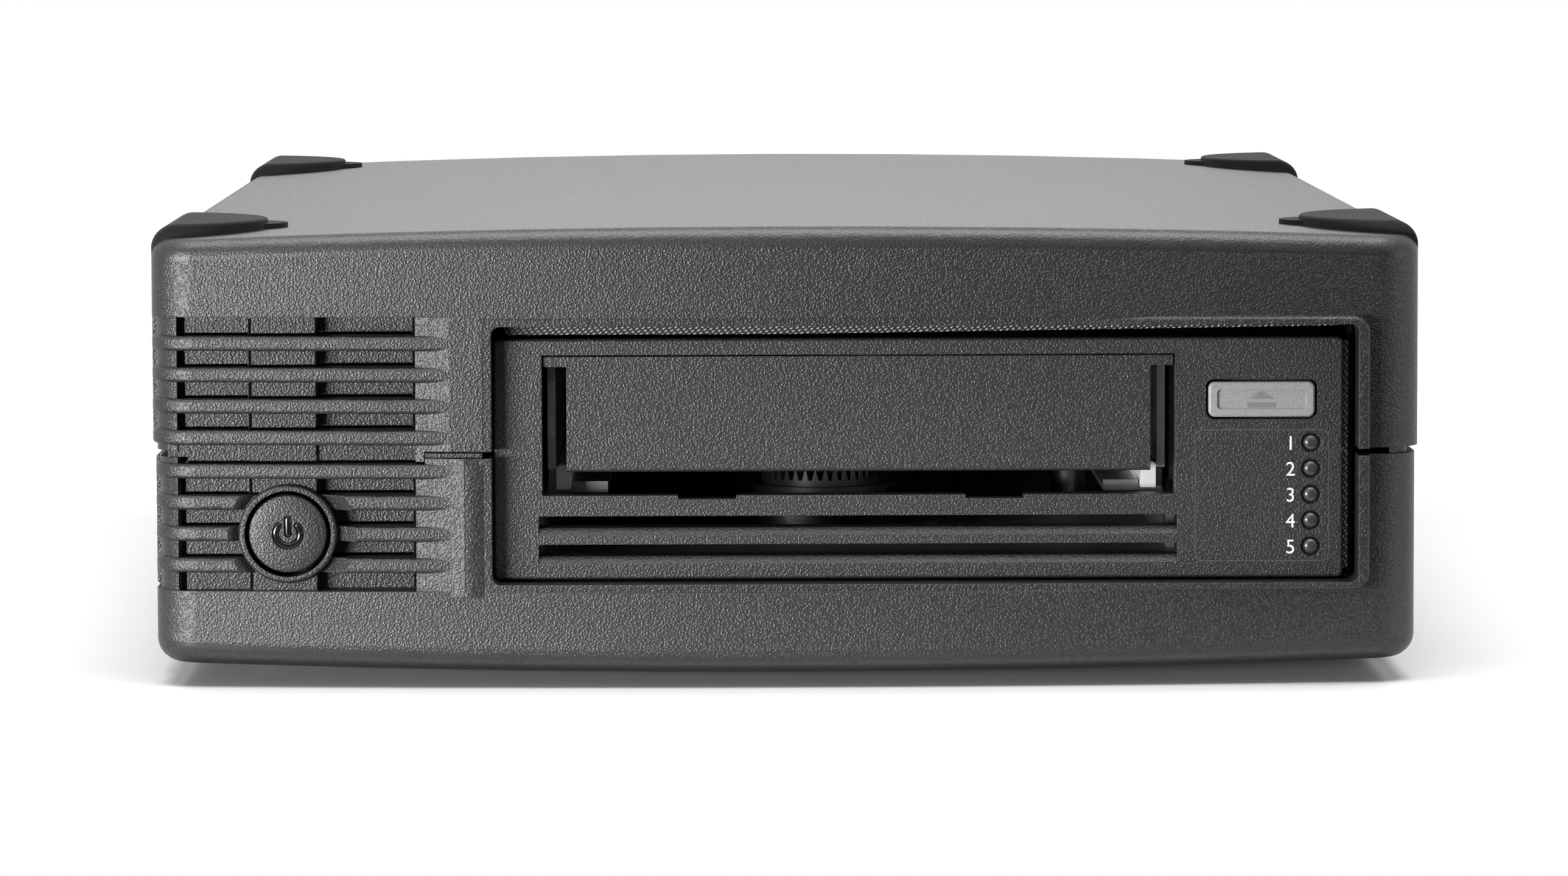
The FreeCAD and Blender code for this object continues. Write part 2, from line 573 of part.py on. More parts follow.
inlet_body = box("inlet_block", (INLET_X + " - 13.5", INLET_X + " + 13.5"), ("136", "157.4"),
                 (INLET_Z + " - 10", INLET_Z + " + 10"))
inlet_flange = box("inlet_flange", (INLET_X + " - 25", INLET_X + " + 25"), ("155.2", "157.4"),
                   (INLET_Z + " - 11.5", INLET_Z + " + 11.5"))
inlet_socket = chamfer("inlet_socket",
                       box("inlet_mouth", (INLET_X + " - 12", INLET_X + " + 12"), ("140", "158"),
                           (INLET_Z + " - 8.25", INLET_Z + " + 8.25")), 4.6,
                       lambda e: runs_along("Y", e) and e.CenterOfMass.z > 38)
inlet_flange_holes = [rod("inlet_flange_hole%d" % i, "Y", INLET_X + dx, INLET_Z, ("150", "160"), "1.6")
                      for i, dx in enumerate((" - 20", " + 20"))]
BLADES = ((" - 7", " - 2"), ("", " + 2"), (" + 7", " - 2"))
blade_slots = [box("blade_slot%d" % i, (INLET_X + dx + " - 1", INLET_X + dx + " + 1"), ("130", "141"),
                   (INLET_Z + dz + " - 2", INLET_Z + dz + " + 2"))
               for i, (dx, dz) in enumerate(BLADES)]
part("power_inlet", cut("power_inlet_form", fuse("inlet_whole", inlet_body, inlet_flange),
                        inlet_socket, *(inlet_flange_holes + blade_slots)))
part("inlet_blades", group("inlet_blade_set", *[
    box("blade%d" % i, (INLET_X + dx + " - 1", INLET_X + dx + " + 1"), ("131", "153"),
        (INLET_Z + dz + " - 2", INLET_Z + dz + " + 2")) for i, (dx, dz) in enumerate(BLADES)]))
part("inlet_screws", group("inlet_screw_set", *[
    fuse("inlet_screw%d" % i,
         rod("inlet_screw_head%d" % i, "Y", INLET_X + dx, INLET_Z, ("157.4", "158"), "2.8"),
         rod("inlet_screw_shank%d" % i, "Y", INLET_X + dx, INLET_Z, ("150", "157.4"), "1.45"))
    for i, dx in enumerate((" - 20", " + 20"))]))

port_outer = box("port_outer", (PORT_X + " - 12.8", PORT_X + " + 12.8"), ("116", "156.4"),
                 (PORT_Z + " - 5", PORT_Z + " + 5"))
port_inner = box("port_inner", (PORT_X + " - 12", PORT_X + " + 12"), ("117", "157"),
                 (PORT_Z + " - 4.2", PORT_Z + " + 4.2"))
port_flange = box("port_flange", (PORT_X + " - 14.6", PORT_X + " + 14.6"),
                  ("panel_front + panel_thick", "156.4"), (PORT_Z + " - 6.8", PORT_Z + " + 6.8"))
part("data_port", cut("data_port_cage", fuse("port_body", port_outer, port_flange), port_inner))
part("data_port_contacts", fuse("port_contacts",
                                box("port_core", (PORT_X + " - 11.8", PORT_X + " + 11.8"),
                                    ("117", "124"), (PORT_Z + " - 4", PORT_Z + " + 4")),
                                box("port_blade", (PORT_X + " - 9.5", PORT_X + " + 9.5"),
                                    ("124", "148"), (PORT_Z + " - 0.8", PORT_Z + " + 0.8"))))

# ---------------------------------------------------------------- fan
FAN_Y = ("129", "panel_front")
fan_block = fillet("fan_block", box("fan_square", ("fan_x - fan_size / 2", "fan_x + fan_size / 2"), FAN_Y,
                                    ("fan_z - fan_size / 2", "fan_z + fan_size / 2")), 3.0,
                   lambda e: runs_along("Y", e))
fan_bore = rod("fan_bore", "Y", "fan_x", "fan_z", ("125", "160"), "28.3")
fan_motor = rod("fan_motor", "Y", "fan_x", "fan_z", ("129", "132"), "12.5")
fan_struts = [box("fan_strut%d" % i, x, ("129", "131.5"), z) for i, (x, z) in enumerate((
    (("fan_x - 29", "fan_x - 11"), ("fan_z - 1.5", "fan_z + 1.5")),
    (("fan_x + 11", "fan_x + 29"), ("fan_z - 1.5", "fan_z + 1.5")),
    (("fan_x - 1.5", "fan_x + 1.5"), ("fan_z - 29", "fan_z - 11")),
    (("fan_x - 1.5", "fan_x + 1.5"), ("fan_z + 11", "fan_z + 29"))))]
fan_pilot = [rod("fan_pilot%d" % i, "Y", "fan_x" + dx, "fan_z" + dz, ("120", "160"), "2.1")
             for i, (dx, dz) in enumerate(fan_corners)]
part("fan_frame", cut("fan_frame_form", fuse("fan_frame_whole", cut("fan_ring", fan_block, fan_bore),
                                             fan_motor, *fan_struts), *(fan_pilot
                      + [rod("fan_bearing", "Y", "fan_x", "fan_z", ("128", "133"), "1.56")])))
fan_hub = rod("fan_hub", "Y", "fan_x", "fan_z", ("132.6", "152"), "12.5")
fan_shaft = rod("fan_shaft", "Y", "fan_x", "fan_z", ("129.2", "133"), "1.5")
blades = []
for i in range(7):
    blade = doc.addObject("Part::Box", "fan_blade%d" % i)
    bind(blade, "Length", "fan_size / 2 - 14")
    blade.Width, blade.Height = 21, 1.4
    spin = Rotation(Vector(0, 1, 0), i * 360.0 / 7)
    pitch = Rotation(Vector(1, 0, 0), 38)
    centre = Vector(dim("fan_x"), 142.3, dim("fan_z"))
    blade.Placement = Placement(centre + spin.multVec(Vector(11.0, 0, 0) + pitch.multVec(
        Vector(0, -10.5, -0.7))), spin * pitch)
    blades.append(blade)
fan_sweep = tube("fan_sweep", "Y", "fan_x", "fan_z", ("133", "151.5"), "27.4", "10")
part("fan_rotor", fuse("fan_rotor_form", fan_hub, fan_shaft,
                       common("fan_blades", fuse("fan_blade_set", *blades), fan_sweep)))
part("fan_screws", group("fan_screw_set", *[
    fuse("fan_screw%d" % i,
         rod("fan_screw_head%d" % i, "Y", "fan_x" + dx, "fan_z" + dz,
             ("panel_front + panel_thick", "panel_front + panel_thick + 1.8"), "3.2"),
         rod("fan_screw_shank%d" % i, "Y", "fan_x" + dx, "fan_z" + dz,
             ("142", "panel_front + panel_thick"), "1.8"))
    for i, (dx, dz) in enumerate(fan_corners)]))

# ---------------------------------------------------------------- power button
def power_disc(name, span, radius):
    return rod(name, "Y", "power_x", "power_z", span, radius)


ring_slot = cut("ring_slot", power_disc("ring_slot_outer", ("-154", "-151"), "2.8"),
                power_disc("ring_slot_inner", ("-155", "-150"), "1.65"),
                box("ring_gap", ("power_x - 1.05", "power_x + 1.05"), ("-155", "-150"),
                    ("power_z", "power_z + 4")))
bar_slot = box("bar_slot", ("power_x - 0.45", "power_x + 0.45"), ("-154", "-151"),
               ("power_z + 0.2", "power_z + 4.05"))
power_cap = fillet("power_cap", power_disc("power_cap_disc", ("-153.7", "-149"), "power_radius"), 0.4,
                   lambda e: on_plane("Y", -153.7, e))
power_flange = power_disc("power_flange", ("-149", "-144.9"), "power_radius")
power_stop = power_disc("power_stop", ("vent_back + 0.1", "-144.9"), "power_radius + 1.5")
power_stem = power_disc("power_stem", ("-145.2", "-141.0"), "2.2")
symbol_slots = fuse("symbol_slots", ring_slot, bar_slot)
part("power_button", cut("power_button_form",
                         fuse("power_body", power_cap, power_flange, power_stop, power_stem),
                         symbol_slots))
light_front = box("light_front", ("power_x - 4", "power_x + 4"), ("-153.45", "-151"),
                  ("power_z - 4", "power_z + 5"))
part("power_button_light", common("power_light_form", symbol_slots, light_front))
part("power_switch_plunger", power_disc("switch_plunger", ("-141.0", "-138.6"), "1.6"))
switch_body = cut("switch_body", box("switch_block", ("power_x - 3.1", "power_x + 3.1"), ("-139.4", "-135.6"),
                                     ("power_z - 3.1", "power_z + 3.1")),
                  power_disc("switch_well", ("-140", "-136.4"), "1.7"))
part("power_board", group("power_board_set", switch_body,
                          box("power_pcb", ("-98", "-76"), ("-135.6", "-134.0"), ("9", "44")),
                          box("power_pcb_plug", ("-92", "-82"), ("-134.0", "-128.5"), ("34", "40"))))

# ---------------------------------------------------------------- cradle
cradle = fuse("cradle_form",
              box("cradle_floor", ("-53.4", "99.9"), ("-145", "62"), ("17.3", "18.5")),
              box("cradle_left", ("-53.4", "-52.2"), ("-145", "62"), ("17.3", "52")),
              box("cradle_right", ("99.1", "99.9"), ("-145", "62"), ("17.3", "62.4")))
MOUNT_Y = ("-95", "-10")
cradle_holes = [rod("cradle_hole%d" % i, "X", y, "28", ("-60", "110"), "1.7")
                for i, y in enumerate(MOUNT_Y)]
cradle_vents = [box("cradle_vent%d" % i, ("%d" % x, "%d" % (x + 16)), ("-100", "20"), ("16", "20"))
                for i, x in enumerate(range(-30, 80, 30))]
part("drive_cradle", cut("cradle_sheet", cradle, *(cradle_holes + cradle_vents)))
drive_screws = []
for i, y in enumerate(MOUNT_Y):
    screw = fuse("drive_screw%d" % i,
                 rod("drive_screw_head%d" % i, "X", y, "28", ("-55.2", "-53.4"), "2.8"),
                 rod("drive_screw_shank%d" % i, "X", y, "28", ("-53.4", "-47.2"), "1.45"))
    drive_screws += [screw, mirror_x("drive_screw_mirror%d" % i, screw, "23.25")]
part("drive_screws", group("drive_screw_set", *drive_screws))

# ---------------------------------------------------------------- drive chassis
DRIVE_X = ("drive_left", "drive_right")
BODY_Y = ("bezel_front + bezel_thick", "drive_back")
base_parts = [
    box("base_floor", DRIVE_X, BODY_Y, ("drive_floor", "drive_floor + 2.5")),
    box("base_left", ("drive_left", "drive_left + 1.5"), BODY_Y, ("drive_floor", "59")),
    box("base_right", ("drive_right - 1.5", "drive_right"), BODY_Y, ("drive_floor", "59")),
    box("base_rear", DRIVE_X, ("drive_back - 1.5", "drive_back"), ("drive_floor", "59")),
]
base_blocks = [box("screw_block%d_%d" % (i, j), x, (y + " - 5", y + " + 5"), ("21", "32"))
               for i, y in enumerate(MOUNT_Y)
               for j, x in enumerate((("drive_left + 1", "-45.5"), ("92", "drive_right - 1")))]
base_posts = [rod("board_post%d" % i, "Z", x, y, ("21", "51"), "2.5")
              for i, (x, y) in enumerate((("-44", "50"), ("90", "50"), ("-44", "-5"), ("90", "-23.5")))]
motor_seats = [rod("hub_seat", "Z", "hub_x", "hub_y", ("21", "22.4"), "22"),
               rod("reel_seat", "Z", "reel_x", "reel_y", ("21", "22.4"), "22")]
ROLLERS = (("56", "-21"), ("76", "-15"), ("78", "26"), ("58", "41"))
roller_seats = [rod("roller_seat%d" % i, "Z", x, y, ("21", "30.5"), "3.4")
                for i, (x, y) in enumerate(ROLLERS)]
roller_pins = [rod("roller_pin%d" % i, "Z", x, y, ("30", "48"), "1.5")
               for i, (x, y) in enumerate(ROLLERS)]
rear_gate = box("rear_gate", ("-31", "13"), ("drive_back - 5", "drive_back + 5"), ("42", "60"))
mount_bores = [rod("mount_bore%d" % i, "X", y, "28", ("-60", "110"), "1.5")
               for i, y in enumerate(MOUNT_Y)]
slider_rails = [box("slider_rail%d" % i, x, ("-128", "-45"), ("21", "34"))
                for i, x in enumerate((("-44.7", "-43.1"), ("68.1", "69.7")))]
part("drive_base", cut("drive_base_form",
                       fuse("drive_base_whole", *(base_parts + base_blocks + base_posts + slider_rails
                                                  + motor_seats + roller_seats + roller_pins)),
                       rear_gate,
                       *[common("mount_bore_end%d" % i, bore,
                                fuse("mount_ends%d" % i,
                                     box("mount_end_l%d" % i, ("-60", "-46"), ("-120", "20"), ("20", "40")),
                                     box("mount_end_r%d" % i, ("92.5", "110"), ("-120", "20"), ("20", "40"))))
                         for i, bore in enumerate(mount_bores)]))
cover_ribs = [box("cover_rib%d" % i, ("%d" % x, "%d" % (x + 4)), ("-100", "30"), ("drive_top - 0.1", "drive_top + 0.6"))
              for i, x in enumerate(range(-20, 80, 28))]
part("drive_top_cover", fuse("drive_lid",
                             box("lid_sheet", DRIVE_X, BODY_Y, ("59", "drive_top")), *cover_ribs))

# ---------------------------------------------------------------- bezel, door, eject button, lamps
BEZEL_X = ("bezel_left", "bezel_left + bezel_width")
BEZEL_Y = ("bezel_front", "bezel_front + bezel_thick")
BEZEL_Z = ("bezel_low", "bezel_low + bezel_height")
bezel_plate = fillet("bezel_plate",
                     fillet("bezel_corners", box("bezel_block", BEZEL_X, BEZEL_Y, BEZEL_Z), 1.0,
                            lambda e: runs_along("Y", e)),
                     0.5, lambda e: on_plane("Y", dim("bezel_front"), e))
bay = box("bay_mouth", ("bay_left", "bay_right"), ("bezel_front - 1", "bezel_front + 6"),
          ("bay_low", "bay_high"))
bay_notches = [box("bay_notch%d" % i, (x, x + " + 10.2"), ("bezel_front - 1", "bezel_front + 6"),
                   ("bay_low - 0.65", "bay_low + 1")) for i, x in enumerate(("-18.95", "31.5"))]
slots = [prism("air_slot%d" % i, "YZ",
               [("bezel_front - 1", z), ("bezel_front - 1", z + " + 3.4"),
                ("bezel_front + 6", z + " + 3.4"), ("bezel_front + 6", z + " + 1.5"),
                ("bezel_front + 1.2", z + " + 1.3"), ("bezel_front", z)],
               ("-43.4", "68.65")) for i, z in enumerate(("26.2", "21.2"))]
EJECT_X, EJECT_Z = ("73.65", "93.15"), ("46.3", "53.3")
eject_hole = fillet("eject_hole", box("eject_window", EJECT_X, ("bezel_front - 1", "bezel_front + 6"),
                                      EJECT_Z), 1.4, lambda e: runs_along("Y", e))
LAMP_X = "92.15"
LAMP_Z = ["%s" % z for z in (42.13, 37.57, 33.01, 28.45, 23.89)]
lamp_holes = [rod("lamp_hole%d" % i, "Y", LAMP_X, z, ("bezel_front - 1", "bezel_front + 6"), "1.56")
              for i, z in enumerate(LAMP_Z)]
lamp_rims = [rod("lamp_rim%d" % i, "Y", LAMP_X, z, ("bezel_front - 1", "bezel_front + 0.5"), "1.8")
             for i, z in enumerate(LAMP_Z)]
pin_holes = [rod("pin_hole%d" % i, "X", "hinge_y", "hinge_z", span, "0.86")
             for i, span in enumerate((("-44.4", "bay_left + 1"), ("bay_right - 1", "69.9")))]
part("drive_bezel", cut("bezel_form", bezel_plate, bay, eject_hole,
                        *(bay_notches + slots + lamp_holes + lamp_rims + pin_holes)))

door_sketch = [("-42.4", "57.6"), ("-42.4", "55.8"), ("-38.45", "55.8"), ("-38.45", "37.3"),
               ("63.95", "37.3"), ("63.95", "55.8"), ("67.9", "55.8"), ("67.9", "57.6")]
door_plate = prism("door_plate", "XZ", door_sketch, ("bezel_front + 0.6", "bezel_front + 2.6"))
door_rounded = fillet("door_rounded", door_plate, 0.7,
                      lambda e: runs_along("X", e) and e.CenterOfMass.z < 38)
door_ribs = [box("door_rib%d" % i, ("%s" % x, "%s" % (x + 1.2)), ("bezel_front + 2.5", "bezel_front + 3.4"),
                 ("40", "52")) for i, x in enumerate((-30, 12, 54))]
door_pins = [rod("door_pin%d" % i, "X", "hinge_y", "hinge_z", span, "0.8")
             for i, span in enumerate((("-44", "-42"), ("67.5", "69.5")))]
part("cartridge_door", fuse("door_form", door_rounded, *(door_ribs + door_pins)))

eject_cap = box("eject_cap", ("74.05", "92.75"), ("bezel_front - 0.5", "bezel_front + 4"), ("46.7", "52.9"))
eject_soft = fillet("eject_soft", eject_cap, 1.2, lambda e: runs_along("Y", e))
eject_edge = fillet("eject_edge", eject_soft, 0.5,
                    lambda e: on_plane("Y", dim("bezel_front") - 0.5, e))
eject_dish = fillet("eject_dish", box("eject_dish_block", ("75.6", "91.2"),
                                      ("bezel_front - 2", "bezel_front - 0.1"), ("48.1", "51.5")),
                    0.6, lambda e: runs_along("Y", e))
eject_stop = box("eject_stop", ("73", "93.8"), ("bezel_front + 5.1", "bezel_front + 6.1"), ("45.7", "53.9"))
eject_core = box("eject_core", ("74.6", "92.2"), ("bezel_front + 3.5", "bezel_front + 5.5"), ("47.3", "52.3"))
eject_stem = rod("eject_stem", "Y", "83.4", "49.8", ("bezel_front + 5.5", "bezel_front + 7.6"), "2")
part("eject_button", fuse("eject_form", cut("eject_dished", eject_edge, eject_dish), eject_stop,
                          eject_core, eject_stem))
part("eject_switch_plunger", rod("eject_plunger", "Y", "83.4", "49.8",
                                 ("bezel_front + 7.6", "bezel_front + 9.9"), "1.6"))
eject_switch = cut("eject_switch",
                   box("eject_switch_block", ("80.3", "86.5"), ("bezel_front + 8.8", "bezel_front + 12.3"),
                       ("46.7", "52.9")),
                   rod("eject_switch_well", "Y", "83.4", "49.8",
                       ("bezel_front + 8", "bezel_front + 11.4"), "1.7"))
lamp_chips = [box("lamp_chip%d" % i, (LAMP_X + " - 1", LAMP_X + " + 1"),
                  ("bezel_front + 10.9", "bezel_front + 12.3"), (z + " - 0.7", z + " + 0.7"))
              for i, z in enumerate(LAMP_Z)]
part("front_board", group("front_board_set", eject_switch,
                          box("front_pcb", ("71", "94.4"), ("bezel_front + 12.3", "bezel_front + 13.9"),
                              ("21.4", "56")), *lamp_chips))
lenses = []
for i, z in enumerate(LAMP_Z):
    lenses.append(fillet("lens%d" % i, rod("lens_full%d" % i, "Y", LAMP_X, z,
                                           ("bezel_front - 0.2", "bezel_front + 10.9"), "1.5"), 1.1,
                         lambda e: on_plane("Y", dim("bezel_front") - 0.2, e)))
part("status_lenses", group("lens_set", *lenses))
part("emi_gasket_top", prism("gasket_top", "XZ",
                             [("-49.2", "open_high"), ("-49.2", "61.4"), ("0", "61.4"), ("66", "62.2"),
                              ("96.8", "62.6"), ("96.8", "open_high")], ("-149.8", "-146.9")))
part("emi_gasket_side", box("gasket_side", ("97.75", "98.6"), ("-150.5", "-147.2"), ("20", "60")))

# ---------------------------------------------------------------- cartridge carrier
slider = fuse("slider_form",
              box("slider_left", ("-44.4", "-43.4"), ("-132", "-40"), ("34", "58.4")),
              box("slider_right", ("68.4", "69.4"), ("-132", "-40"), ("34", "58.4")),
              box("slider_roof", ("-44.4", "69.4"), ("-60", "-42"), ("57.9", "58.4")),
              box("slider_strip", ("-44.4", "69.4"), ("-126", "-116"), ("57.9", "58.4")))
part("loader_slider", slider)
CARRIER_Y = ("-143", "-40")
carrier = fuse("carrier_form",
               box("carrier_left", ("-41.95", "-40.55"), CARRIER_Y, ("37.2", "55.5")),
               box("carrier_right", ("65.55", "66.95"), CARRIER_Y, ("37.2", "55.5")),
               box("carrier_left_deep", ("-41.95", "-40.55"), ("-136", "-40"), ("31.0", "57.2")),
               box("carrier_right_deep", ("65.55", "66.95"), ("-136", "-40"), ("31.0", "57.2")),
               box("carrier_roof", ("-41.95", "66.95"), ("-127", "-40"), ("56.6", "57.2")),
               box("carrier_ledge_left", ("-41", "-31.5"), ("-136", "-40"), ("32.4", "33.4")),
               box("carrier_ledge_right", ("56.5", "66"), ("-136", "-40"), ("32.4", "33.4")),
               box("carrier_lip_left", ("-37.8", "-31.5"), ("-136", "-134"), ("33", "34.4")),
               box("carrier_lip_right", ("56.5", "62.7"), ("-136", "-134"), ("33", "34.4")),
               box("carrier_back", ("-41.95", "66.95"), ("-41.2", "-40"), ("50", "57.2")))
part("cartridge_carrier", carrier)


def side_guide(name, x, y, z):
    block = box(name + "_block", x, y, z)
    return fillet(name, block, 0.9, lambda e: on_plane("Z", float(z[1]), e))


part("carrier_guide_left", side_guide("guide_left", ("-40.55", "-38.0"), ("-141", "-70"), ("33.4", "37.9")))
part("carrier_guide_right", side_guide("guide_right", ("62.9", "65.55"), ("-141", "-70"), ("33.4", "38.1")))

# ---------------------------------------------------------------- cartridge hub with its crown of teeth
hub_body = doc.addObject("PartDesign::Body", "hub_body")
hub_body.Placement = Placement(Vector(dim("hub_x"), dim("hub_y"), 0), Rotation())


def hub_ring(name, radius, height, low):
    """Disc of the hub, padded up from a circle."""
    sketch = hub_body.newObject("Sketcher::SketchObject", name + "_sketch")
    plane = [f for f in hub_body.Origin.OriginFeatures if f.Role == "XY_Plane"][0]
    sketch.AttachmentSupport = [(plane, "")]
    sketch.MapMode = "FlatFace"
    bind(sketch, "AttachmentOffset.Base.z", low)
    sketch.addGeometry(Part.Circle(Vector(), Vector(0, 0, 1), radius))
    sketch.addConstraint(Sketcher.Constraint("Coincident", 0, 3, -1, 1))
    sketch.addConstraint(Sketcher.Constraint("Radius", 0, radius))
    pad = hub_body.newObject("PartDesign::Pad", name)
    pad.Profile = sketch
    bind(pad, "Length", height)
    return pad


hub_ring("hub_shaft", 2.4, "5", "24.4")
hub_ring("hub_flange", 12.4, "2.4", "26.9")
hub_ring("hub_crown", 10.8, "3.0", "29.3")
doc.recompute()


def hub_pocket(name, corners, low, depth):
    """Pocket cut down from the top of the hub; corners of its outline are expressions."""
    sketch = outline(name + "_sketch", "XY", corners, hub_body)
    bind(sketch, "AttachmentOffset.Base.z", low)
    pocket = hub_body.newObject("PartDesign::Pocket", name)
    pocket.Profile = sketch
    pocket.Reversed = False
    bind(pocket, "Length", depth)
    return pocket


well = hub_body.newObject("Sketcher::SketchObject", "hub_well_sketch")
well.AttachmentSupport = [([f for f in hub_body.Origin.OriginFeatures if f.Role == "XY_Plane"][0], "")]
well.MapMode = "FlatFace"
bind(well, "AttachmentOffset.Base.z", "32.3")
well.addGeometry(Part.Circle(Vector(), Vector(0, 0, 1), 8.4))
well.addConstraint(Sketcher.Constraint("Coincident", 0, 3, -1, 1))
well.addConstraint(Sketcher.Constraint("Radius", 0, 8.4))
hub_well = hub_body.newObject("PartDesign::Pocket", "hub_well")
hub_well.Profile = well
bind(hub_well, "Length", "3.0")
doc.recompute()
# one tooth gap: round bottom, sides that lean out to leave pointed teeth
gap = hub_body.newObject("Sketcher::SketchObject", "hub_gap_sketch")
gap.AttachmentSupport = [([f for f in hub_body.Origin.OriginFeatures if f.Role == "YZ_Plane"][0], "")]
gap.MapMode = "FlatFace"
floor, top, half_low, half_high = 30.4, 32.5, 0.42, 0.86
corners = [Vector(-half_high, top, 0), Vector(-half_low, floor + half_low, 0),
           Vector(half_low, floor + half_low, 0), Vector(half_high, top, 0)]
gap.addGeometry(Part.LineSegment(corners[0], corners[1]))
gap.addGeometry(Part.Arc(corners[1], Vector(0, floor, 0), corners[2]))
gap.addGeometry(Part.LineSegment(corners[2], corners[3]))
gap.addGeometry(Part.LineSegment(corners[3], corners[0]))
hub_gap = hub_body.newObject("PartDesign::Pocket", "hub_gap")
hub_gap.Profile = gap
bind(hub_gap, "Length", "14")
doc.recompute()
solid_before = hub_well.Shape.Volume
if hub_gap.Shape.Volume > solid_before - 0.5:
    hub_gap.Reversed = True
    doc.recompute()
teeth = hub_body.newObject("PartDesign::PolarPattern", "hub_teeth_pattern")
teeth.Originals = [hub_gap]
teeth.Axis = ([f for f in hub_body.Origin.OriginFeatures if f.Role == "Z_Axis"][0], [""])
teeth.Angle = 360
bind(teeth, "Occurrences", "hub_teeth")
hub_body.Tip = teeth
doc.recompute()
part("cartridge_hub", hub_body)
part("hub_motor", cut("hub_motor_form",
                      fuse("hub_motor_whole", rod("hub_stator", "Z", "hub_x", "hub_y", ("22.4", "26.3"), "19"),
                           box("hub_motor_board", ("hub_x - 18", "hub_x + 18"), ("hub_y + 10", "hub_y + 32"),
                               ("22.4", "24.0"))),
                      rod("hub_bearing", "Z", "hub_x", "hub_y", ("24.2", "27"), "2.46")))

# ---------------------------------------------------------------- take-up reel, rollers and head
reel = fuse("reel_form",
            rod("reel_lower", "Z", "reel_x", "reel_y", ("30", "31.2"), "reel_radius"),
            rod("reel_core", "Z", "reel_x", "reel_y", ("27", "45.5"), "19"),
            rod("reel_upper", "Z", "reel_x", "reel_y", ("44.8", "46"), "reel_radius"),
            rod("reel_shaft", "Z", "reel_x", "reel_y", ("24.4", "28"), "2.4"))
part("takeup_reel", cut("reel_cut", reel, *[
    rod("reel_light%d" % i, "Z", "reel_x + %.3f" % (28 * math.cos(i * math.pi / 3)),
        "reel_y + %.3f" % (28 * math.sin(i * math.pi / 3)), ("40", "47"), "5") for i in range(6)]))
part("reel_motor", cut("reel_motor_form",
                       rod("reel_stator", "Z", "reel_x", "reel_y", ("22.4", "26.3"), "19"),
                       rod("reel_bearing", "Z", "reel_x", "reel_y", ("24.2", "27"), "2.46")))
for i, (x, y) in enumerate(ROLLERS, 1):
    roller = fuse("roller_form%d" % i, rod("roller_barrel%d" % i, "Z", x, y, ("31", "45.6"), "4.6"),
                  rod("roller_low%d" % i, "Z", x, y, ("31", "32"), "5.6"),
                  rod("roller_high%d" % i, "Z", x, y, ("44.6", "45.6"), "5.6"))
    part("guide_roller_%d" % i, cut("roller_cut%d" % i, roller,
                                    rod("roller_bore%d" % i, "Z", x, y, ("30", "47"), "1.55")))
part("head_frame", fuse("head_frame_form",
                        box("head_foot", ("82", "91.9"), ("-12", "24"), ("21.4", "23.4")),
                        rod("head_rail", "Z", "90", "-7", ("23", "49.8"), "1.5"),
                        cut("head_stepper", rod("head_stepper_can", "Z", "89.2", "17", ("23.4", "31"), "5.5"),
                            rod("head_stepper_bore", "Z", "89.2", "17", ("24.4", "32"), "1.56"))))
part("head_leadscrew", rod("leadscrew", "Z", "89.2", "17", ("24.6", "49.8"), "1.5"))
part("head_carriage", cut("head_carriage_form",
                          box("head_block", ("84.5", "93.6"), ("-11", "21"), ("35", "45")),
                          rod("rail_bore", "Z", "90", "-7", ("30", "50"), "1.56"),
                          rod("screw_bore", "Z", "89.2", "17", ("30", "50"), "1.56")))
tape_head = fillet("tape_head_form", box("head_core", ("77.4", "84.5"), ("-1", "11"), ("32.8", "47.2")), 2.2,
                   lambda e: runs_along("Z", e) and e.CenterOfMass.x < 78)
part("tape_head", tape_head)

# ---------------------------------------------------------------- main board and rear plug
part("main_board", group("main_board_set",
                        box("main_pcb", ("-47", "93.5"), ("-26", "54"), ("51", "52.6")),
                        box("drive_socket", ("-30", "12"), ("49.5", "59.5"), ("43", "51")),
                        *[box("main_chip%d" % i, x, y, ("52.6", z)) for i, (x, y, z) in enumerate((
                            (("-30", "-8"), ("-10", "12"), "54.6"), (("10", "24"), ("-12", "2"), "54.0"),
                            (("34", "52"), ("10", "24"), "54.2"), (("-34", "-20"), ("28", "36"), "53.8"),
                            (("62", "74"), ("-12", "6"), "56.6")))]))
part("loader_motor", fuse("loader_motor_form",
                          rod("loader_can", "Y", "-40.5", "40", ("-31", "-12"), "6"),
                          box("loader_clamp", ("-48.25", "-40.5"), ("-26", "-18"), ("36.5", "43.5"))))

# ---------------------------------------------------------------- power supply
part("supply_board", group("supply_board_set",
                          box("supply_pcb", ("-97", "-57"), ("-98", "60"), ("12", "13.6")),
                          rod("bulk_capacitor", "Z", "-77", "-58", ("13.6", "42"), "9"),
                          rod("filter_ring", "Y", "-77", "22.6", ("18", "27"), "9"),
                          box("heatsink0", ("-95.5", "-93"), ("-60", "0"), ("13.6", "44")),
                          box("heatsink1", ("-61", "-58.5"), ("6", "46"), ("13.6", "44")),
                          box("output_plug", ("-90", "-66"), ("48", "58"), ("13.6", "24"))))
part("supply_transformer", fuse("transformer_form",
                                box("transformer_core", ("-88", "-63"), ("-30", "0"), ("13.6", "40")),
                                box("transformer_coil", ("-84", "-67"), ("-34", "4"), ("17", "36"))))


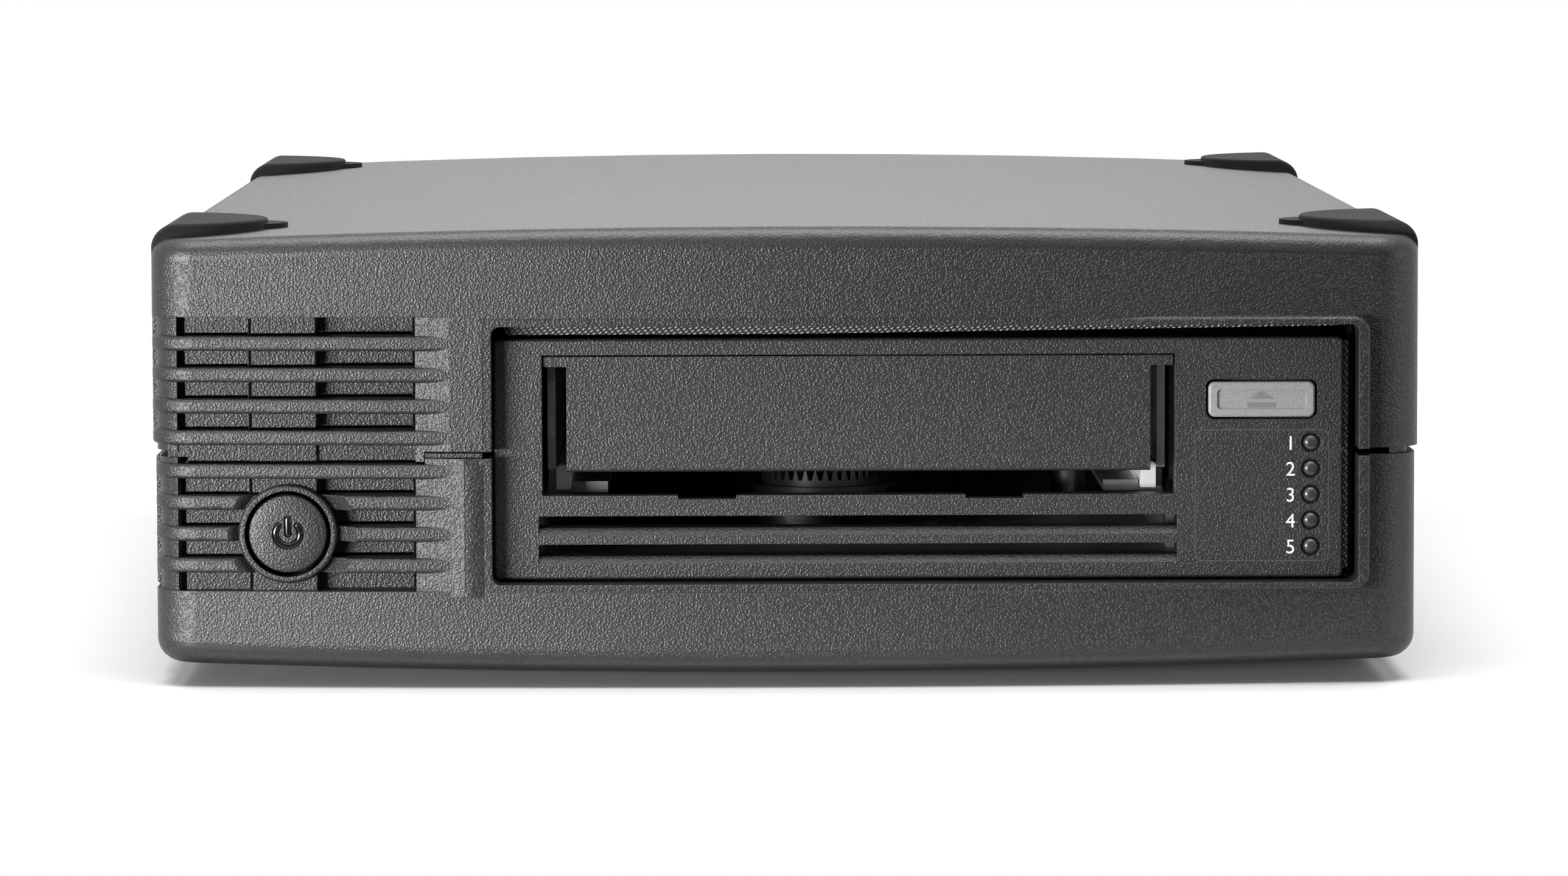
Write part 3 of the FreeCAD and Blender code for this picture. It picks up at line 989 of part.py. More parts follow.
# ---------------------------------------------------------------- leads held inside the case
def lead(name, points, radius):
    """Round lead along straight runs joined by tangent arcs; the ends are square."""
    points = [Vector(*p) for p in points]
    edges, start = [], points[0]
    for before, corner, after in zip(points, points[1:], points[2:]):
        back, ahead = (before - corner), (after - corner)
        reach = 0.45 * min(back.Length, ahead.Length)
        back.normalize()
        ahead.normalize()
        turn = math.pi - back.getAngle(ahead)
        bend = reach / math.tan(turn / 2)
        first, last = corner + back * reach, corner + ahead * reach
        inward = (back + ahead).normalize()
        middle = corner + inward * (bend / math.cos(turn / 2) - bend)
        edges.append(Part.LineSegment(start, first).toShape())
        edges.append(Part.Arc(first, middle, last).toShape())
        start = last
    edges.append(Part.LineSegment(start, points[-1]).toShape())
    path = Part.Wire(edges)
    section = Part.Wire([Part.Circle(points[0], points[1] - points[0], radius).toShape()])
    obj = doc.addObject("Part::Feature", name)
    obj.Shape = path.makePipeShell([section], True, False)
    obj.Placement = Placement()
    return obj


part("data_cable", fuse("data_cable_form",
                        box("data_cable_plug", ("-29", "-10"), ("59.5", "70"), ("43.5", "50.5")),
                        lead("data_lead", [(-19.5, 70, 47), (-19.5, 92, 47), (-12, 104, 44), (-12, 116, 44)],
                             3.0)))
part("drive_power_lead", fuse("drive_power_form",
                              box("drive_power_plug", ("-8", "10"), ("59.5", "70"), ("43.5", "50.5")),
                              lead("drive_power_cord", [(1, 70, 47), (1, 88, 47), (-12, 104, 30), (-40, 106, 22),
                                                        (-66, 96, 19), (-78, 78, 19), (-78, 58, 19)], 2.6)))
part("mains_lead", lead("mains_cord", [(-72, 131, 34), (-72, 117, 34), (-84, 100, 30), (-93, 84, 22),
                                       (-93.5, 66, 16.8), (-93.5, 60, 16.8)], 2.4))

# ---------------------------------------------------------------- sub-parts out, only if all is sound
def export_parts():
    doc.recompute()
    for obj in doc.Objects:
        if "Invalid" in obj.State or "Error" in obj.State:
            raise RuntimeError("%s failed: %s" % (obj.Name, obj.State))
    for name, obj in parts.items():
        if obj.Shape.isNull() or not obj.Shape.isValid():
            raise RuntimeError("%s has no valid shape" % name)
    os.makedirs("parts", exist_ok=True)
    for name, obj in parts.items():
        obj.Shape.exportStep("parts/%s.step" % name)


export_parts()
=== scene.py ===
"""Looks of the desktop tape drive: moulded, rubber and metal surfaces, marks, light and camera."""
import math
import bmesh
import bpy
from mathutils import Matrix, Vector


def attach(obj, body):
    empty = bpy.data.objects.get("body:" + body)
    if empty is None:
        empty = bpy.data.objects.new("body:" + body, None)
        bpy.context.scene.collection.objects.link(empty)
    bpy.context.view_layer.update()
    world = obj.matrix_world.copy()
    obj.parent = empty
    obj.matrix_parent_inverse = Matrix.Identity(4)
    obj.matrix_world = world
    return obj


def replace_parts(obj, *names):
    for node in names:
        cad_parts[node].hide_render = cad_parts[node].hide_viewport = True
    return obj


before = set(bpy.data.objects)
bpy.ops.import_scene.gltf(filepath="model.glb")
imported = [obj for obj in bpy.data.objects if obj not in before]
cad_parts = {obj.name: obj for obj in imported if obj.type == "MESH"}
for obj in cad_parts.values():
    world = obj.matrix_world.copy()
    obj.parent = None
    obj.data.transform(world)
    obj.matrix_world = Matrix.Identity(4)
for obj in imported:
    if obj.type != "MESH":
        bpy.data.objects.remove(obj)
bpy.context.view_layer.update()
MM = 0.001

# Places on the object, in millimetres. Depths are negative toward the front.
BUTTON_X, BUTTON_Z, BUTTON_FACE = -87.25, 26.9, -153.7
BEZEL_FACE, EJECT_FACE = -151.8, -151.9
INK_AND_PAINT = 0.04                                # how far ink and the painted marks stand proud of the face that they are on
LAMP_TOP, LAMP_STEP = 42.13, 4.56         # height of the first lamp, and from one lamp to the next
SHELL_TOP_LINE, SHELL_LOW_LINE = 76.8, 5.2    # mould lines under the top and above the underside
TOP_BOW, LOW_BOW = 2568, 2300             # radius of each mould line, as it bows across the case
STRIPES = math.pi / 10                    # the wave texture's scale for stripes 1 mm apart


# ---------------------------------------------------------------- colour and node helpers
def linear(hex_colour):
    """Linear RGBA of an sRGB hex colour."""
    parts = [int(hex_colour[i:i + 2], 16) / 255 for i in (1, 3, 5)]
    return [c / 12.92 if c <= 0.04045 else ((c + 0.055) / 1.055) ** 2.4 for c in parts] + [1.0]


def node(tree, kind, inputs=None, **settings):
    """Add a shader node with its settings and its inputs; an input is a value or another socket."""
    made = tree.nodes.new("ShaderNode" + kind)
    for key, value in settings.items():
        setattr(made, key, value)
    for key, value in (inputs or {}).items():
        if isinstance(value, bpy.types.NodeSocket):
            tree.links.new(value, made.inputs[key])
        else:
            made.inputs[key].default_value = value
    return made.outputs


def surface(name, **constants):
    """New material with these constants on its shader, and the piece's coordinates in millimetres."""
    look = bpy.data.materials.new(name)
    look.use_nodes = True
    tree = look.node_tree
    shader = tree.nodes["Principled BSDF"]
    for key, value in constants.items():
        shader.inputs[key.replace("_", " ")].default_value = value
    metres = node(tree, "TexCoord")["Object"]
    place = node(tree, "VectorMath", {0: metres, "Scale": 1 / MM}, operation="SCALE")["Vector"]
    return look, tree, shader, place


def wire(tree, shader, **sockets):
    """Link finished sockets into the shader."""
    for key, socket in sockets.items():
        tree.links.new(socket, shader.inputs[key.replace("_", " ")])


# ---------------------------------------------------------------- moulded plastics
def spark_eroded_abs(name, shaded_hollow, crest, grain, depth, edge, mould_lines=False):
    """ABS from a spark-eroded mould: pebbles run together like leather, their crests a little
    polished, so a low light breaks into specks. Its colour goes from the darker tone to the
    lighter with each pebble's height: painted shade in the hollows and a painted highlight on
    the crests, mixed with a random blotchy tone. grain is a pebble's width and depth its height,
    in mm; edge is the moulding's own small corner radius. With mould_lines the grain is half as
    deep above the shells' upper mould line, and all but stops below the lower one."""
    look, tree, shader, place = surface(name, IOR=1.53)
    drift = node(tree, "TexNoise", {"Vector": place, "Scale": 0.7 / grain, "Detail": 1.0})["Color"]
    sway = node(tree, "VectorMath", {0: drift, 1: (0.5, 0.5, 0.5)}, operation="SUBTRACT")["Vector"]
    sway = node(tree, "VectorMath", {0: sway, "Scale": 0.6 * grain}, operation="SCALE")["Vector"]
    bent = node(tree, "VectorMath", {0: place, 1: sway}, operation="ADD")["Vector"]
    pit = node(tree, "TexVoronoi", {"Vector": bent, "Scale": 1 / grain, "Smoothness": 0.35},
               feature="SMOOTH_F1")["Distance"]
    pebble = node(tree, "MapRange", {"Value": pit, "From Min": 0.65, "From Max": 0.1})["Result"]
    grit = node(tree, "TexNoise", {"Vector": place, "Scale": 3.2 / grain, "Detail": 3.0})["Fac"]
    height = node(tree, "Math", {0: grit, 1: 0.35, 2: pebble}, operation="MULTIPLY_ADD")["Value"]
    blotch = node(tree, "TexNoise", {"Vector": place, "Scale": 1 / 40, "Detail": 3.0})["Fac"]
    # colour by pebble height: painted shade in the hollows and a painted highlight on the crests; the
    # blotch adds a random tone
    tone = node(tree, "Math", {0: blotch, 1: 0.4, 2: pebble}, operation="MULTIPLY_ADD")["Value"]
    tone = node(tree, "MapRange", {"Value": tone, "From Min": 0.1, "From Max": 1.3})["Result"]
    colour = node(tree, "Mix", {"Factor": tone, "A": linear(shaded_hollow), "B": linear(crest)},
                  data_type="RGBA")["Result"]
    rough = node(tree, "MapRange", {"Value": pebble, "To Min": 0.46, "To Max": 0.32})["Result"]
    if mould_lines:
        axes = node(tree, "SeparateXYZ", {0: place})
        bow = node(tree, "Math", {0: axes["X"], 1: 2.0}, operation="POWER")["Value"]
        rise = node(tree, "Math", {0: bow, 1: 1 / (2 * TOP_BOW), 2: axes["Z"]},
                    operation="MULTIPLY_ADD")["Value"]
        fall = node(tree, "Math", {0: bow, 1: -1 / (2 * LOW_BOW), 2: axes["Z"]},
                    operation="MULTIPLY_ADD")["Value"]
        above = node(tree, "MapRange", {"Value": rise, "From Min": SHELL_TOP_LINE,
                                        "From Max": SHELL_TOP_LINE + 0.3,
                                        "To Min": 1.0, "To Max": 0.5})["Result"]
        below = node(tree, "MapRange", {"Value": fall, "From Min": SHELL_LOW_LINE,
                                        "From Max": SHELL_LOW_LINE + 0.2,
                                        "To Min": 0.12, "To Max": 1.0})["Result"]
        amount = node(tree, "Math", {0: above, 1: below}, operation="MULTIPLY")["Value"]
        height = node(tree, "Math", {0: height, 1: amount}, operation="MULTIPLY")["Value"]
    rounded = node(tree, "Bevel", {"Radius": edge * MM}, samples=4)["Normal"]
    grained = node(tree, "Bump", {"Height": height, "Distance": depth * MM, "Normal": rounded})["Normal"]
    wire(tree, shader, Base_Color=colour, Roughness=rough, Normal=grained)
    return look


def moulded_polymer(name, dark, light, rough, mottle=12.0, grit=0.25, depth=0.01, ior=1.5):
    """Smooth moulded rubber or plastic: flow marks, mottle mm across, and a skin whose fine grit,
    in mm, softens the sheen. Its corners are a little rounded."""
    look, tree, shader, place = surface(name, IOR=ior)
    flow = node(tree, "TexNoise", {"Vector": place, "Scale": 1 / mottle, "Detail": 4.0})["Fac"]
    skin = node(tree, "TexNoise", {"Vector": place, "Scale": 1 / grit, "Detail": 2.0})["Fac"]
    tone = node(tree, "MapRange", {"Value": flow, "From Min": 0.3, "From Max": 0.7})["Result"]
    colour = node(tree, "Mix", {"Factor": tone, "A": linear(dark), "B": linear(light)},
                  data_type="RGBA")["Result"]
    sheen = node(tree, "MapRange", {"Value": flow, "From Min": 0.3, "From Max": 0.7,
                                    "To Min": rough - 0.04, "To Max": rough + 0.06})["Result"]
    rounded = node(tree, "Bevel", {"Radius": 0.15 * MM}, samples=4)["Normal"]
    skinned = node(tree, "Bump", {"Height": skin, "Distance": depth * MM, "Normal": rounded})["Normal"]
    wire(tree, shader, Base_Color=colour, Roughness=sheen, Normal=skinned)
    return look


def powder_coated_steel():
    """Baked powder coat on the rear sheet: orange-peel ripple about 1.2 mm across, even dark grey."""
    look, tree, shader, place = surface("powder_coated_steel", IOR=1.5)
    peel = node(tree, "TexNoise", {"Vector": place, "Scale": 1 / 1.2, "Detail": 1.5})["Fac"]
    cloud = node(tree, "TexNoise", {"Vector": place, "Scale": 1 / 25, "Detail": 3.0})["Fac"]
    colour = node(tree, "Mix", {"Factor": cloud, "A": linear("#2a2a2b"), "B": linear("#343435")},
                  data_type="RGBA")["Result"]
    rough = node(tree, "MapRange", {"Value": peel, "To Min": 0.42, "To Max": 0.58})["Result"]
    rippled = node(tree, "Bump", {"Height": peel, "Distance": 0.06 * MM})["Normal"]
    wire(tree, shader, Base_Color=colour, Roughness=rough, Normal=rippled)
    return look


# ---------------------------------------------------------------- metals
def plated_metal(name, dark, light, rough, spangle=6.0):
    """Plated, rolled metal: crystals spangle mm across in a lighter and a darker tone, and fine
    lines along the rolling direction, left to right, that stretch the highlights. The lines are
    0.5 mm apart, coarser than real, so that they show."""
    look, tree, shader, place = surface(name, Metallic=1.0)
    crystal = node(tree, "TexVoronoi", {"Vector": place, "Scale": 1 / spangle})["Color"]
    shade = node(tree, "SeparateColor", {"Color": crystal})["Red"]
    rolled = node(tree, "Mapping", {"Vector": place, "Scale": (0.06, 1 / 0.5, 1 / 0.5)})["Vector"]
    line = node(tree, "TexNoise", {"Vector": rolled, "Scale": 1.0, "Detail": 3.0})["Fac"]
    colour = node(tree, "Mix", {"Factor": shade, "A": linear(dark), "B": linear(light)},
                  data_type="RGBA")["Result"]
    sheen = node(tree, "MapRange", {"Value": line, "From Min": 0.3, "From Max": 0.7,
                                    "To Min": rough - 0.06, "To Max": rough + 0.1})["Result"]
    lined = node(tree, "Bump", {"Height": line, "Distance": 0.012 * MM})["Normal"]
    wire(tree, shader, Base_Color=colour, Roughness=sheen, Normal=lined)
    return look


def cast_aluminium():
    """Die-cast aluminium: a dull sandy skin, 0.6 mm grit, with darker flow patches."""
    look, tree, shader, place = surface("cast_aluminium", Metallic=1.0)
    grit = node(tree, "TexNoise", {"Vector": place, "Scale": 1 / 0.6, "Detail": 3.0})["Fac"]
    flow = node(tree, "TexNoise", {"Vector": place, "Scale": 1 / 30, "Detail": 4.0})["Fac"]
    colour = node(tree, "Mix", {"Factor": flow, "A": linear("#85878a"), "B": linear("#a3a5a7")},
                  data_type="RGBA")["Result"]
    rough = node(tree, "MapRange", {"Value": grit, "To Min": 0.42, "To Max": 0.6})["Result"]
    sandy = node(tree, "Bump", {"Height": grit, "Distance": 0.05 * MM})["Normal"]
    wire(tree, shader, Base_Color=colour, Roughness=rough, Normal=sandy)
    return look


def stacked_iron():
    """Varnished stack of iron sheets: a ridge every 1 mm, coarser than real so that it shows, and
    brown patches where the varnish lies thicker."""
    look, tree, shader, place = surface("stacked_iron", Metallic=0.8)
    leaf = node(tree, "TexWave", {"Vector": place, "Scale": STRIPES, "Distortion": 0.3},
                bands_direction="Z")["Fac"]
    stain = node(tree, "TexNoise", {"Vector": place, "Scale": 1 / 5, "Detail": 3.0})["Fac"]
    colour = node(tree, "Mix", {"Factor": stain, "A": linear("#3f3934"), "B": linear("#6b645d")},
                  data_type="RGBA")["Result"]
    rough = node(tree, "MapRange", {"Value": stain, "To Min": 0.4, "To Max": 0.65})["Result"]
    ridged = node(tree, "Bump", {"Height": leaf, "Distance": 0.08 * MM})["Normal"]
    wire(tree, shader, Base_Color=colour, Roughness=rough, Normal=ridged)
    return look


# ---------------------------------------------------------------- fabric, board, lenses and ink
def woven_gasket():
    """Metallised polyester cloth over foam: slanting twill ribs 0.9 mm apart, with threads across
    them 0.6 mm apart, both coarser than real so that they show; dull grey with near black between."""
    look, tree, shader, place = surface("woven_gasket", Metallic=0.3, Roughness=0.42)
    slant = node(tree, "Mapping", {"Vector": place, "Rotation": (0, math.radians(40), 0)})["Vector"]
    rib = node(tree, "TexWave", {"Vector": slant, "Scale": STRIPES / 0.9}, bands_direction="X")["Fac"]
    cross = node(tree, "TexWave", {"Vector": slant, "Scale": STRIPES / 0.6}, bands_direction="Z")["Fac"]
    thread = node(tree, "Math", {0: rib, 1: cross}, operation="MULTIPLY")["Value"]
    tone = node(tree, "MapRange", {"Value": thread, "From Min": 0.1, "From Max": 0.6})["Result"]
    colour = node(tree, "Mix", {"Factor": tone, "A": linear("#1c1c1c"), "B": linear("#8f8f8e")},
                  data_type="RGBA")["Result"]
    woven = node(tree, "Bump", {"Height": thread, "Distance": 0.2 * MM})["Normal"]
    wire(tree, shader, Base_Color=colour, Normal=woven)
    return look


def glass_epoxy_board():
    """Glass-epoxy circuit board: green lacquer over tracks on a 2.5 by 1.25 mm grid."""
    look, tree, shader, place = surface("glass_epoxy_board", Roughness=0.3, IOR=1.5)
    lacquer = node(tree, "TexBrick", {"Vector": place, "Scale": 1.0, "Brick Width": 2.5,
                                      "Row Height": 1.25, "Mortar Size": 0.08,
                                      "Color1": linear("#123c22"), "Color2": linear("#0f3320"),
                                      "Mortar": linear("#3f6b3a")})
    weave = node(tree, "TexNoise", {"Vector": place, "Scale": 1 / 0.6})["Fac"]
    raised = node(tree, "Math", {0: lacquer["Fac"], 1: 0.5, 2: weave}, operation="MULTIPLY_ADD")["Value"]
    tracked = node(tree, "Bump", {"Height": raised, "Distance": 0.03 * MM})["Normal"]
    wire(tree, shader, Base_Color=lacquer["Color"], Normal=tracked)
    return look


def cast_lens(name, deep, pale, rough):
    """Smoked epoxy or acrylic, cast: dark, faintly cloudy, under a glossy skin with hard highlights."""
    look, tree, shader, place = surface(name, IOR=1.52, Coat_Weight=0.6, Coat_Roughness=0.05)
    cloud = node(tree, "TexNoise", {"Vector": place, "Scale": 1 / 1.2})["Fac"]
    colour = node(tree, "Mix", {"Factor": cloud, "A": linear(deep), "B": linear(pale)},
                  data_type="RGBA")["Result"]
    sheen = node(tree, "MapRange", {"Value": cloud, "To Min": rough, "To Max": rough + 0.08})["Result"]
    ripple = node(tree, "Bump", {"Height": cloud, "Distance": 0.004 * MM})["Normal"]
    wire(tree, shader, Base_Color=colour, Roughness=sheen, Normal=ripple)
    return look


def pad_printed_ink(name, thin, full):
    """Pad-printed ink: an opaque film a little thinner over the grain, so it looks faintly mottled.
    The lamp frame and the eject sign use it too, where its grey is painted light and shade in
    place of moulded relief.
    """
    look, tree, shader, place = surface(name, Roughness=0.5, IOR=1.5)
    film = node(tree, "TexNoise", {"Vector": place, "Scale": 1 / 0.4, "Detail": 2.0})["Fac"]
    cover = node(tree, "MapRange", {"Value": film, "From Min": 0.35, "From Max": 0.6})["Result"]
    colour = node(tree, "Mix", {"Factor": cover, "A": linear(thin), "B": linear(full)},
                  data_type="RGBA")["Result"]
    uneven = node(tree, "Bump", {"Height": film, "Distance": 0.01 * MM})["Normal"]
    wire(tree, shader, Base_Color=colour, Normal=uneven)
    return look


CASE = spark_eroded_abs("case_abs", "#0c0c0c", "#262626", 0.4, 0.07, 0.3, mould_lines=True)
BEZEL = spark_eroded_abs("bezel_abs", "#141414", "#2e2e2e", 0.4, 0.065, 0.2)
BUTTON = spark_eroded_abs("power_button_abs", "#111111", "#1e1e1e", 0.4, 0.05, 0.2)
EJECT = spark_eroded_abs("eject_button_abs", "#7c7c7c", "#8d8d8d", 0.4, 0.02, 0.2)
PAD = moulded_polymer("elastomer_pad", "#0a0a0b", "#101011", 0.85, 14.0, 0.3, 0.012, ior=1.42)
FOOT = moulded_polymer("rubber_foot", "#0f0f10", "#171718", 0.7, 6.0, 0.3, 0.04)
PANEL = powder_coated_steel()
ZINC = plated_metal("zinc_plated_steel", "#8d8f91", "#b4b6b7", 0.34)
SCREW = plated_metal("zinc_plated_screw", "#7f8081", "#a3a4a4", 0.3, 1.5)
CRADLE = plated_metal("black_plated_steel", "#1c1c1d", "#29292a", 0.38)
ALLOY = cast_aluminium()
IRON = stacked_iron()
BRASS = plated_metal("plated_brass", "#a98a4a", "#c9ac6c", 0.28, 2.0)
NYLON = moulded_polymer("gear_nylon", "#333334", "#424243", 0.42, 8.0)
ACETAL = moulded_polymer("white_acetal", "#b5b5b3", "#c9c9c7", 0.35, 6.0)
BLACK = moulded_polymer("black_nylon", "#0f0f10", "#181819", 0.38, 10.0, 0.4, 0.02)
LEAD = moulded_polymer("lead_pvc", "#131314", "#1b1b1d", 0.45, 8.0)
GUIDE = cast_lens("light_guide_acrylic", "#060606", "#101010", 0.1)
LENS = cast_lens("smoked_epoxy_lens", "#1d1d1d", "#3a3a3a", 0.3)
WEAVE = woven_gasket()
BOARD = glass_epoxy_board()
# the white numbers are print; the frame line and the eject sign are painted light and shade in place of
# moulded relief
WHITE_INK = pad_printed_ink("white_ink", "#b9b9b7", "#e6e6e4")
FRAME_LINE_LIGHT_AND_SHADE = pad_printed_ink("frame_line_painted_light_and_shade", "#363636", "#484848")
EJECT_SIGN_SHADE = pad_printed_ink("eject_sign_painted_shade", "#636363", "#717171")

LOOKS = {
    CASE: ("top_cover", "bottom_cover"),
    BEZEL: ("drive_bezel", "cartridge_door"),
    EJECT: ("eject_button",),
    PAD: ("pad_front_left", "pad_front_right", "pad_rear_left", "pad_rear_right"),
    FOOT: ("foot_front_left", "foot_front_right", "foot_rear_left", "foot_rear_right"),
    ZINC: ("drive_top_cover", "cartridge_carrier", "loader_slider", "data_port",
           "reel_motor", "loader_motor"),
    CRADLE: ("drive_cradle", "hub_motor"),
    SCREW: ("case_screws", "drive_screws", "head_leadscrew"),
    ALLOY: ("drive_base", "head_frame", "head_carriage"),
    PANEL: ("rear_panel",),
    NYLON: ("cartridge_hub", "takeup_reel"),
    ACETAL: ("carrier_guide_left", "carrier_guide_right", "guide_roller_1", "guide_roller_2",
             "guide_roller_3", "guide_roller_4", "eject_switch_plunger", "power_switch_plunger"),
    BLACK: ("power_inlet", "fan_frame", "fan_rotor", "data_port_contacts"),
    LEAD: ("data_cable", "drive_power_lead", "mains_lead"),
    IRON: ("supply_transformer", "tape_head"),
    BRASS: ("inlet_blades",),
    LENS: ("status_lenses",),
    WEAVE: ("emi_gasket_top", "emi_gasket_side"),
    BOARD: ("main_board", "front_board", "power_board", "supply_board"),
}
for look, names in LOOKS.items():
    for name in names:
        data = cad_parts[name].data
        data.materials.clear()
        data.materials.append(look)


# ---------------------------------------------------------------- how a piece is made, in millimetres
def piece(name, mesh, look, body):
    """Finish a piece: its size in metres, its material, and the body that it moves with."""
    bmesh.ops.recalc_face_normals(mesh, faces=mesh.faces)
    bmesh.ops.scale(mesh, vec=(MM, MM, MM), verts=mesh.verts)
    data = bpy.data.meshes.new(name)
    mesh.to_mesh(data)
    mesh.free()
    data.set_sharp_from_angle(angle=math.radians(30))
    data.materials.append(look)
    made = bpy.data.objects.new(name, data)
    bpy.context.scene.collection.objects.link(made)
    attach(made, body)
    return made


def row(mesh, outline, depth):
    """Closed row of points along a front outline, at one depth."""
    return [mesh.verts.new((x, depth, z)) for x, z in outline]


def walls(mesh, *rows):
    """Smooth skin between rows of points, from one to the next."""
    for near, far in zip(rows, rows[1:]):
        for i in range(len(near)):
            mesh.faces.new((near[i - 1], near[i], far[i], far[i - 1])).smooth = True


def lid(mesh, *rows):
    """Flat face inside the first row, with the other rows as its holes."""
    edges = []
    for points in rows:
        for i in range(len(points)):
            ends = (points[i - 1], points[i])
            edges.append(mesh.edges.get(ends) or mesh.edges.new(ends))
    bmesh.ops.triangle_fill(mesh, use_beauty=True, edges=edges)


def circle(x, z, radius, count=96):
    """Outline of a circle, as this many points."""
    return [(x + radius * math.cos(math.tau * i / count), z + radius * math.sin(math.tau * i / count))
            for i in range(count)]


def stroke(path, half):
    """Outline of a stroke of this half width along a path, with round ends."""
    quarter = math.pi / 2
    steps = []
    for i, (x, z) in enumerate(path):
        (ax, az), (bx, bz) = path[max(i - 1, 0)], path[min(i + 1, len(path) - 1)]
        steps.append((x, z, math.atan2(bz - az, bx - ax)))
    ends = [[(x, z, turn + back + a * quarter / 5) for a in range(-4, 5)]
            for (x, z, turn), back in ((steps[-1], 0), (steps[0], math.pi))]
    way = [(x, z, turn - quarter) for x, z, turn in steps] + ends[0]
    way += [(x, z, turn + quarter) for x, z, turn in reversed(steps)] + ends[1]
    return [(x + half * math.cos(turn), z + half * math.sin(turn)) for x, z, turn in way]


def framed(left, right, low, high, radius):
    """Rectangle outline with round corners."""
    corners = ((right, low, -90), (right, high, 0), (left, high, 90), (left, low, 180))
    outline = []
    for x, z, start in corners:
        x += radius if x == left else -radius
        z += radius if z == low else -radius
        outline += [(x + radius * math.cos(math.radians(start + a)),
                     z + radius * math.sin(math.radians(start + a))) for a in range(0, 91, 15)]
    return outline


def thin_plate(name, outlines, front, look, body):
    """Flat shapes with their face at this depth and sides 0.08 mm deep, open at the back."""
    plate = bmesh.new()
    for outline in outlines:
        face, back = row(plate, outline, front), row(plate, outline, front + 0.08)
        walls(plate, face, back)
        lid(plate, face)
    return piece(name, plate, look, body)


def upright(name, plan, low, high):
    """Moulded strip of this plan outline, standing between two heights."""
    strip = bmesh.new()
    ends = [[strip.verts.new((x, depth, z)) for x, depth in plan] for z in (low, high)]
    walls(strip, *ends)
    for end in ends:
        lid(strip, end)
    piece(name, strip, CASE, "enclosure")


# ---------------------------------------------------------------- the pieces
def power_button():
    """Button cap with the standby sign let into its face, and the smoked insert that fills the sign
    and stands up in it like a bead, with a hairline gap all round."""
    cap_radius, flange_radius, stem_radius = 6.9, 8.4, 2.2
    flange_front, flange_back, stem_end = -145.9, -144.9, -141.0
    sign_radius, gap = 2.17, 0.11
    ring = [(BUTTON_X + sign_radius * math.sin(math.radians(a)),
             BUTTON_Z + sign_radius * math.cos(math.radians(a))) for a in range(50, 311, 5)]
    bar = [(BUTTON_X, BUTTON_Z - 0.02), (BUTTON_X, BUTTON_Z + 2.53)]
    strokes = ((ring, 0.63), (bar, 0.67))
    cap = bmesh.new()
    turned = [row(cap, circle(BUTTON_X, BUTTON_Z, radius), depth) for radius, depth in (
        (cap_radius - 0.5, BUTTON_FACE), (cap_radius - 0.2, BUTTON_FACE + 0.1),
        (cap_radius - 0.05, BUTTON_FACE + 0.3), (cap_radius, BUTTON_FACE + 0.5),
        (cap_radius, flange_front), (flange_radius, flange_front),
        (flange_radius, flange_back), (stem_radius, flange_back), (stem_radius, stem_end))]
    walls(cap, *turned)
    lid(cap, turned[-1])
    rims = []
    for path, half in strokes:
        rim = row(cap, stroke(path, half), BUTTON_FACE)
        floor = row(cap, stroke(path, half), BUTTON_FACE + 0.6)
        walls(cap, rim, floor)
        lid(cap, floor)
        rims.append(rim)
    lid(cap, turned[0], *rims)
    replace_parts(piece("power_button_cap", cap, BUTTON, "power_button"), "power_button")
    insert = bmesh.new()
    for path, half in strokes:
        bead = [row(insert, stroke(path, half - gap - inset), BUTTON_FACE + sunk) for inset, sunk in (
            (0, 0.65), (0, 0.25), (0.1, 0.1), (0.25, 0.02), (0.4, 0))]
        walls(insert, *bead)
        lid(insert, bead[0])
        lid(insert, bead[-1])
    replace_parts(piece("power_button_sign", insert, GUIDE, "power_button"),
                "power_button_light")


def lamp_frame():
    """Thin grey frame round the lamps: painted light and shade in place of a faint moulded line."""
    left, right, low, high, corner, width = 71.7, 95.3, 21.3, 44.5, 1.45, 0.15
    outer = framed(left, right, low, high, corner)
    inner = framed(left + width, right - width, low + width, high - width, corner - width)
    front, back = BEZEL_FACE - INK_AND_PAINT, BEZEL_FACE + 0.02
    line = bmesh.new()
    walls(line, row(line, outer, back), row(line, outer, front), row(line, inner, front),
          row(line, inner, back))
    piece("lamp_frame_line", line, FRAME_LINE_LIGHT_AND_SHADE, "enclosure")


def lamp_numbers():
    """A plain number to the left of each lamp, ending in line."""
    right_end, size, half_height = 89.4, 3.5, 1.25
    for number in range(1, 6):
        z = LAMP_TOP - LAMP_STEP * (number - 1) - half_height
        data = bpy.data.curves.new("lamp_number_%d" % number, "FONT")
        data.body = str(number)
        data.size = size * MM
        data.align_x = "RIGHT"
        data.extrude = 0.02 * MM
        data.materials.append(WHITE_INK)
        figure = bpy.data.objects.new("lamp_number_%d" % number, data)
        figure.location = (right_end * MM, (BEZEL_FACE - INK_AND_PAINT) * MM, z * MM)
        figure.rotation_euler = (math.radians(90), 0, 0)
        bpy.context.scene.collection.objects.link(figure)
        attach(figure, "enclosure")


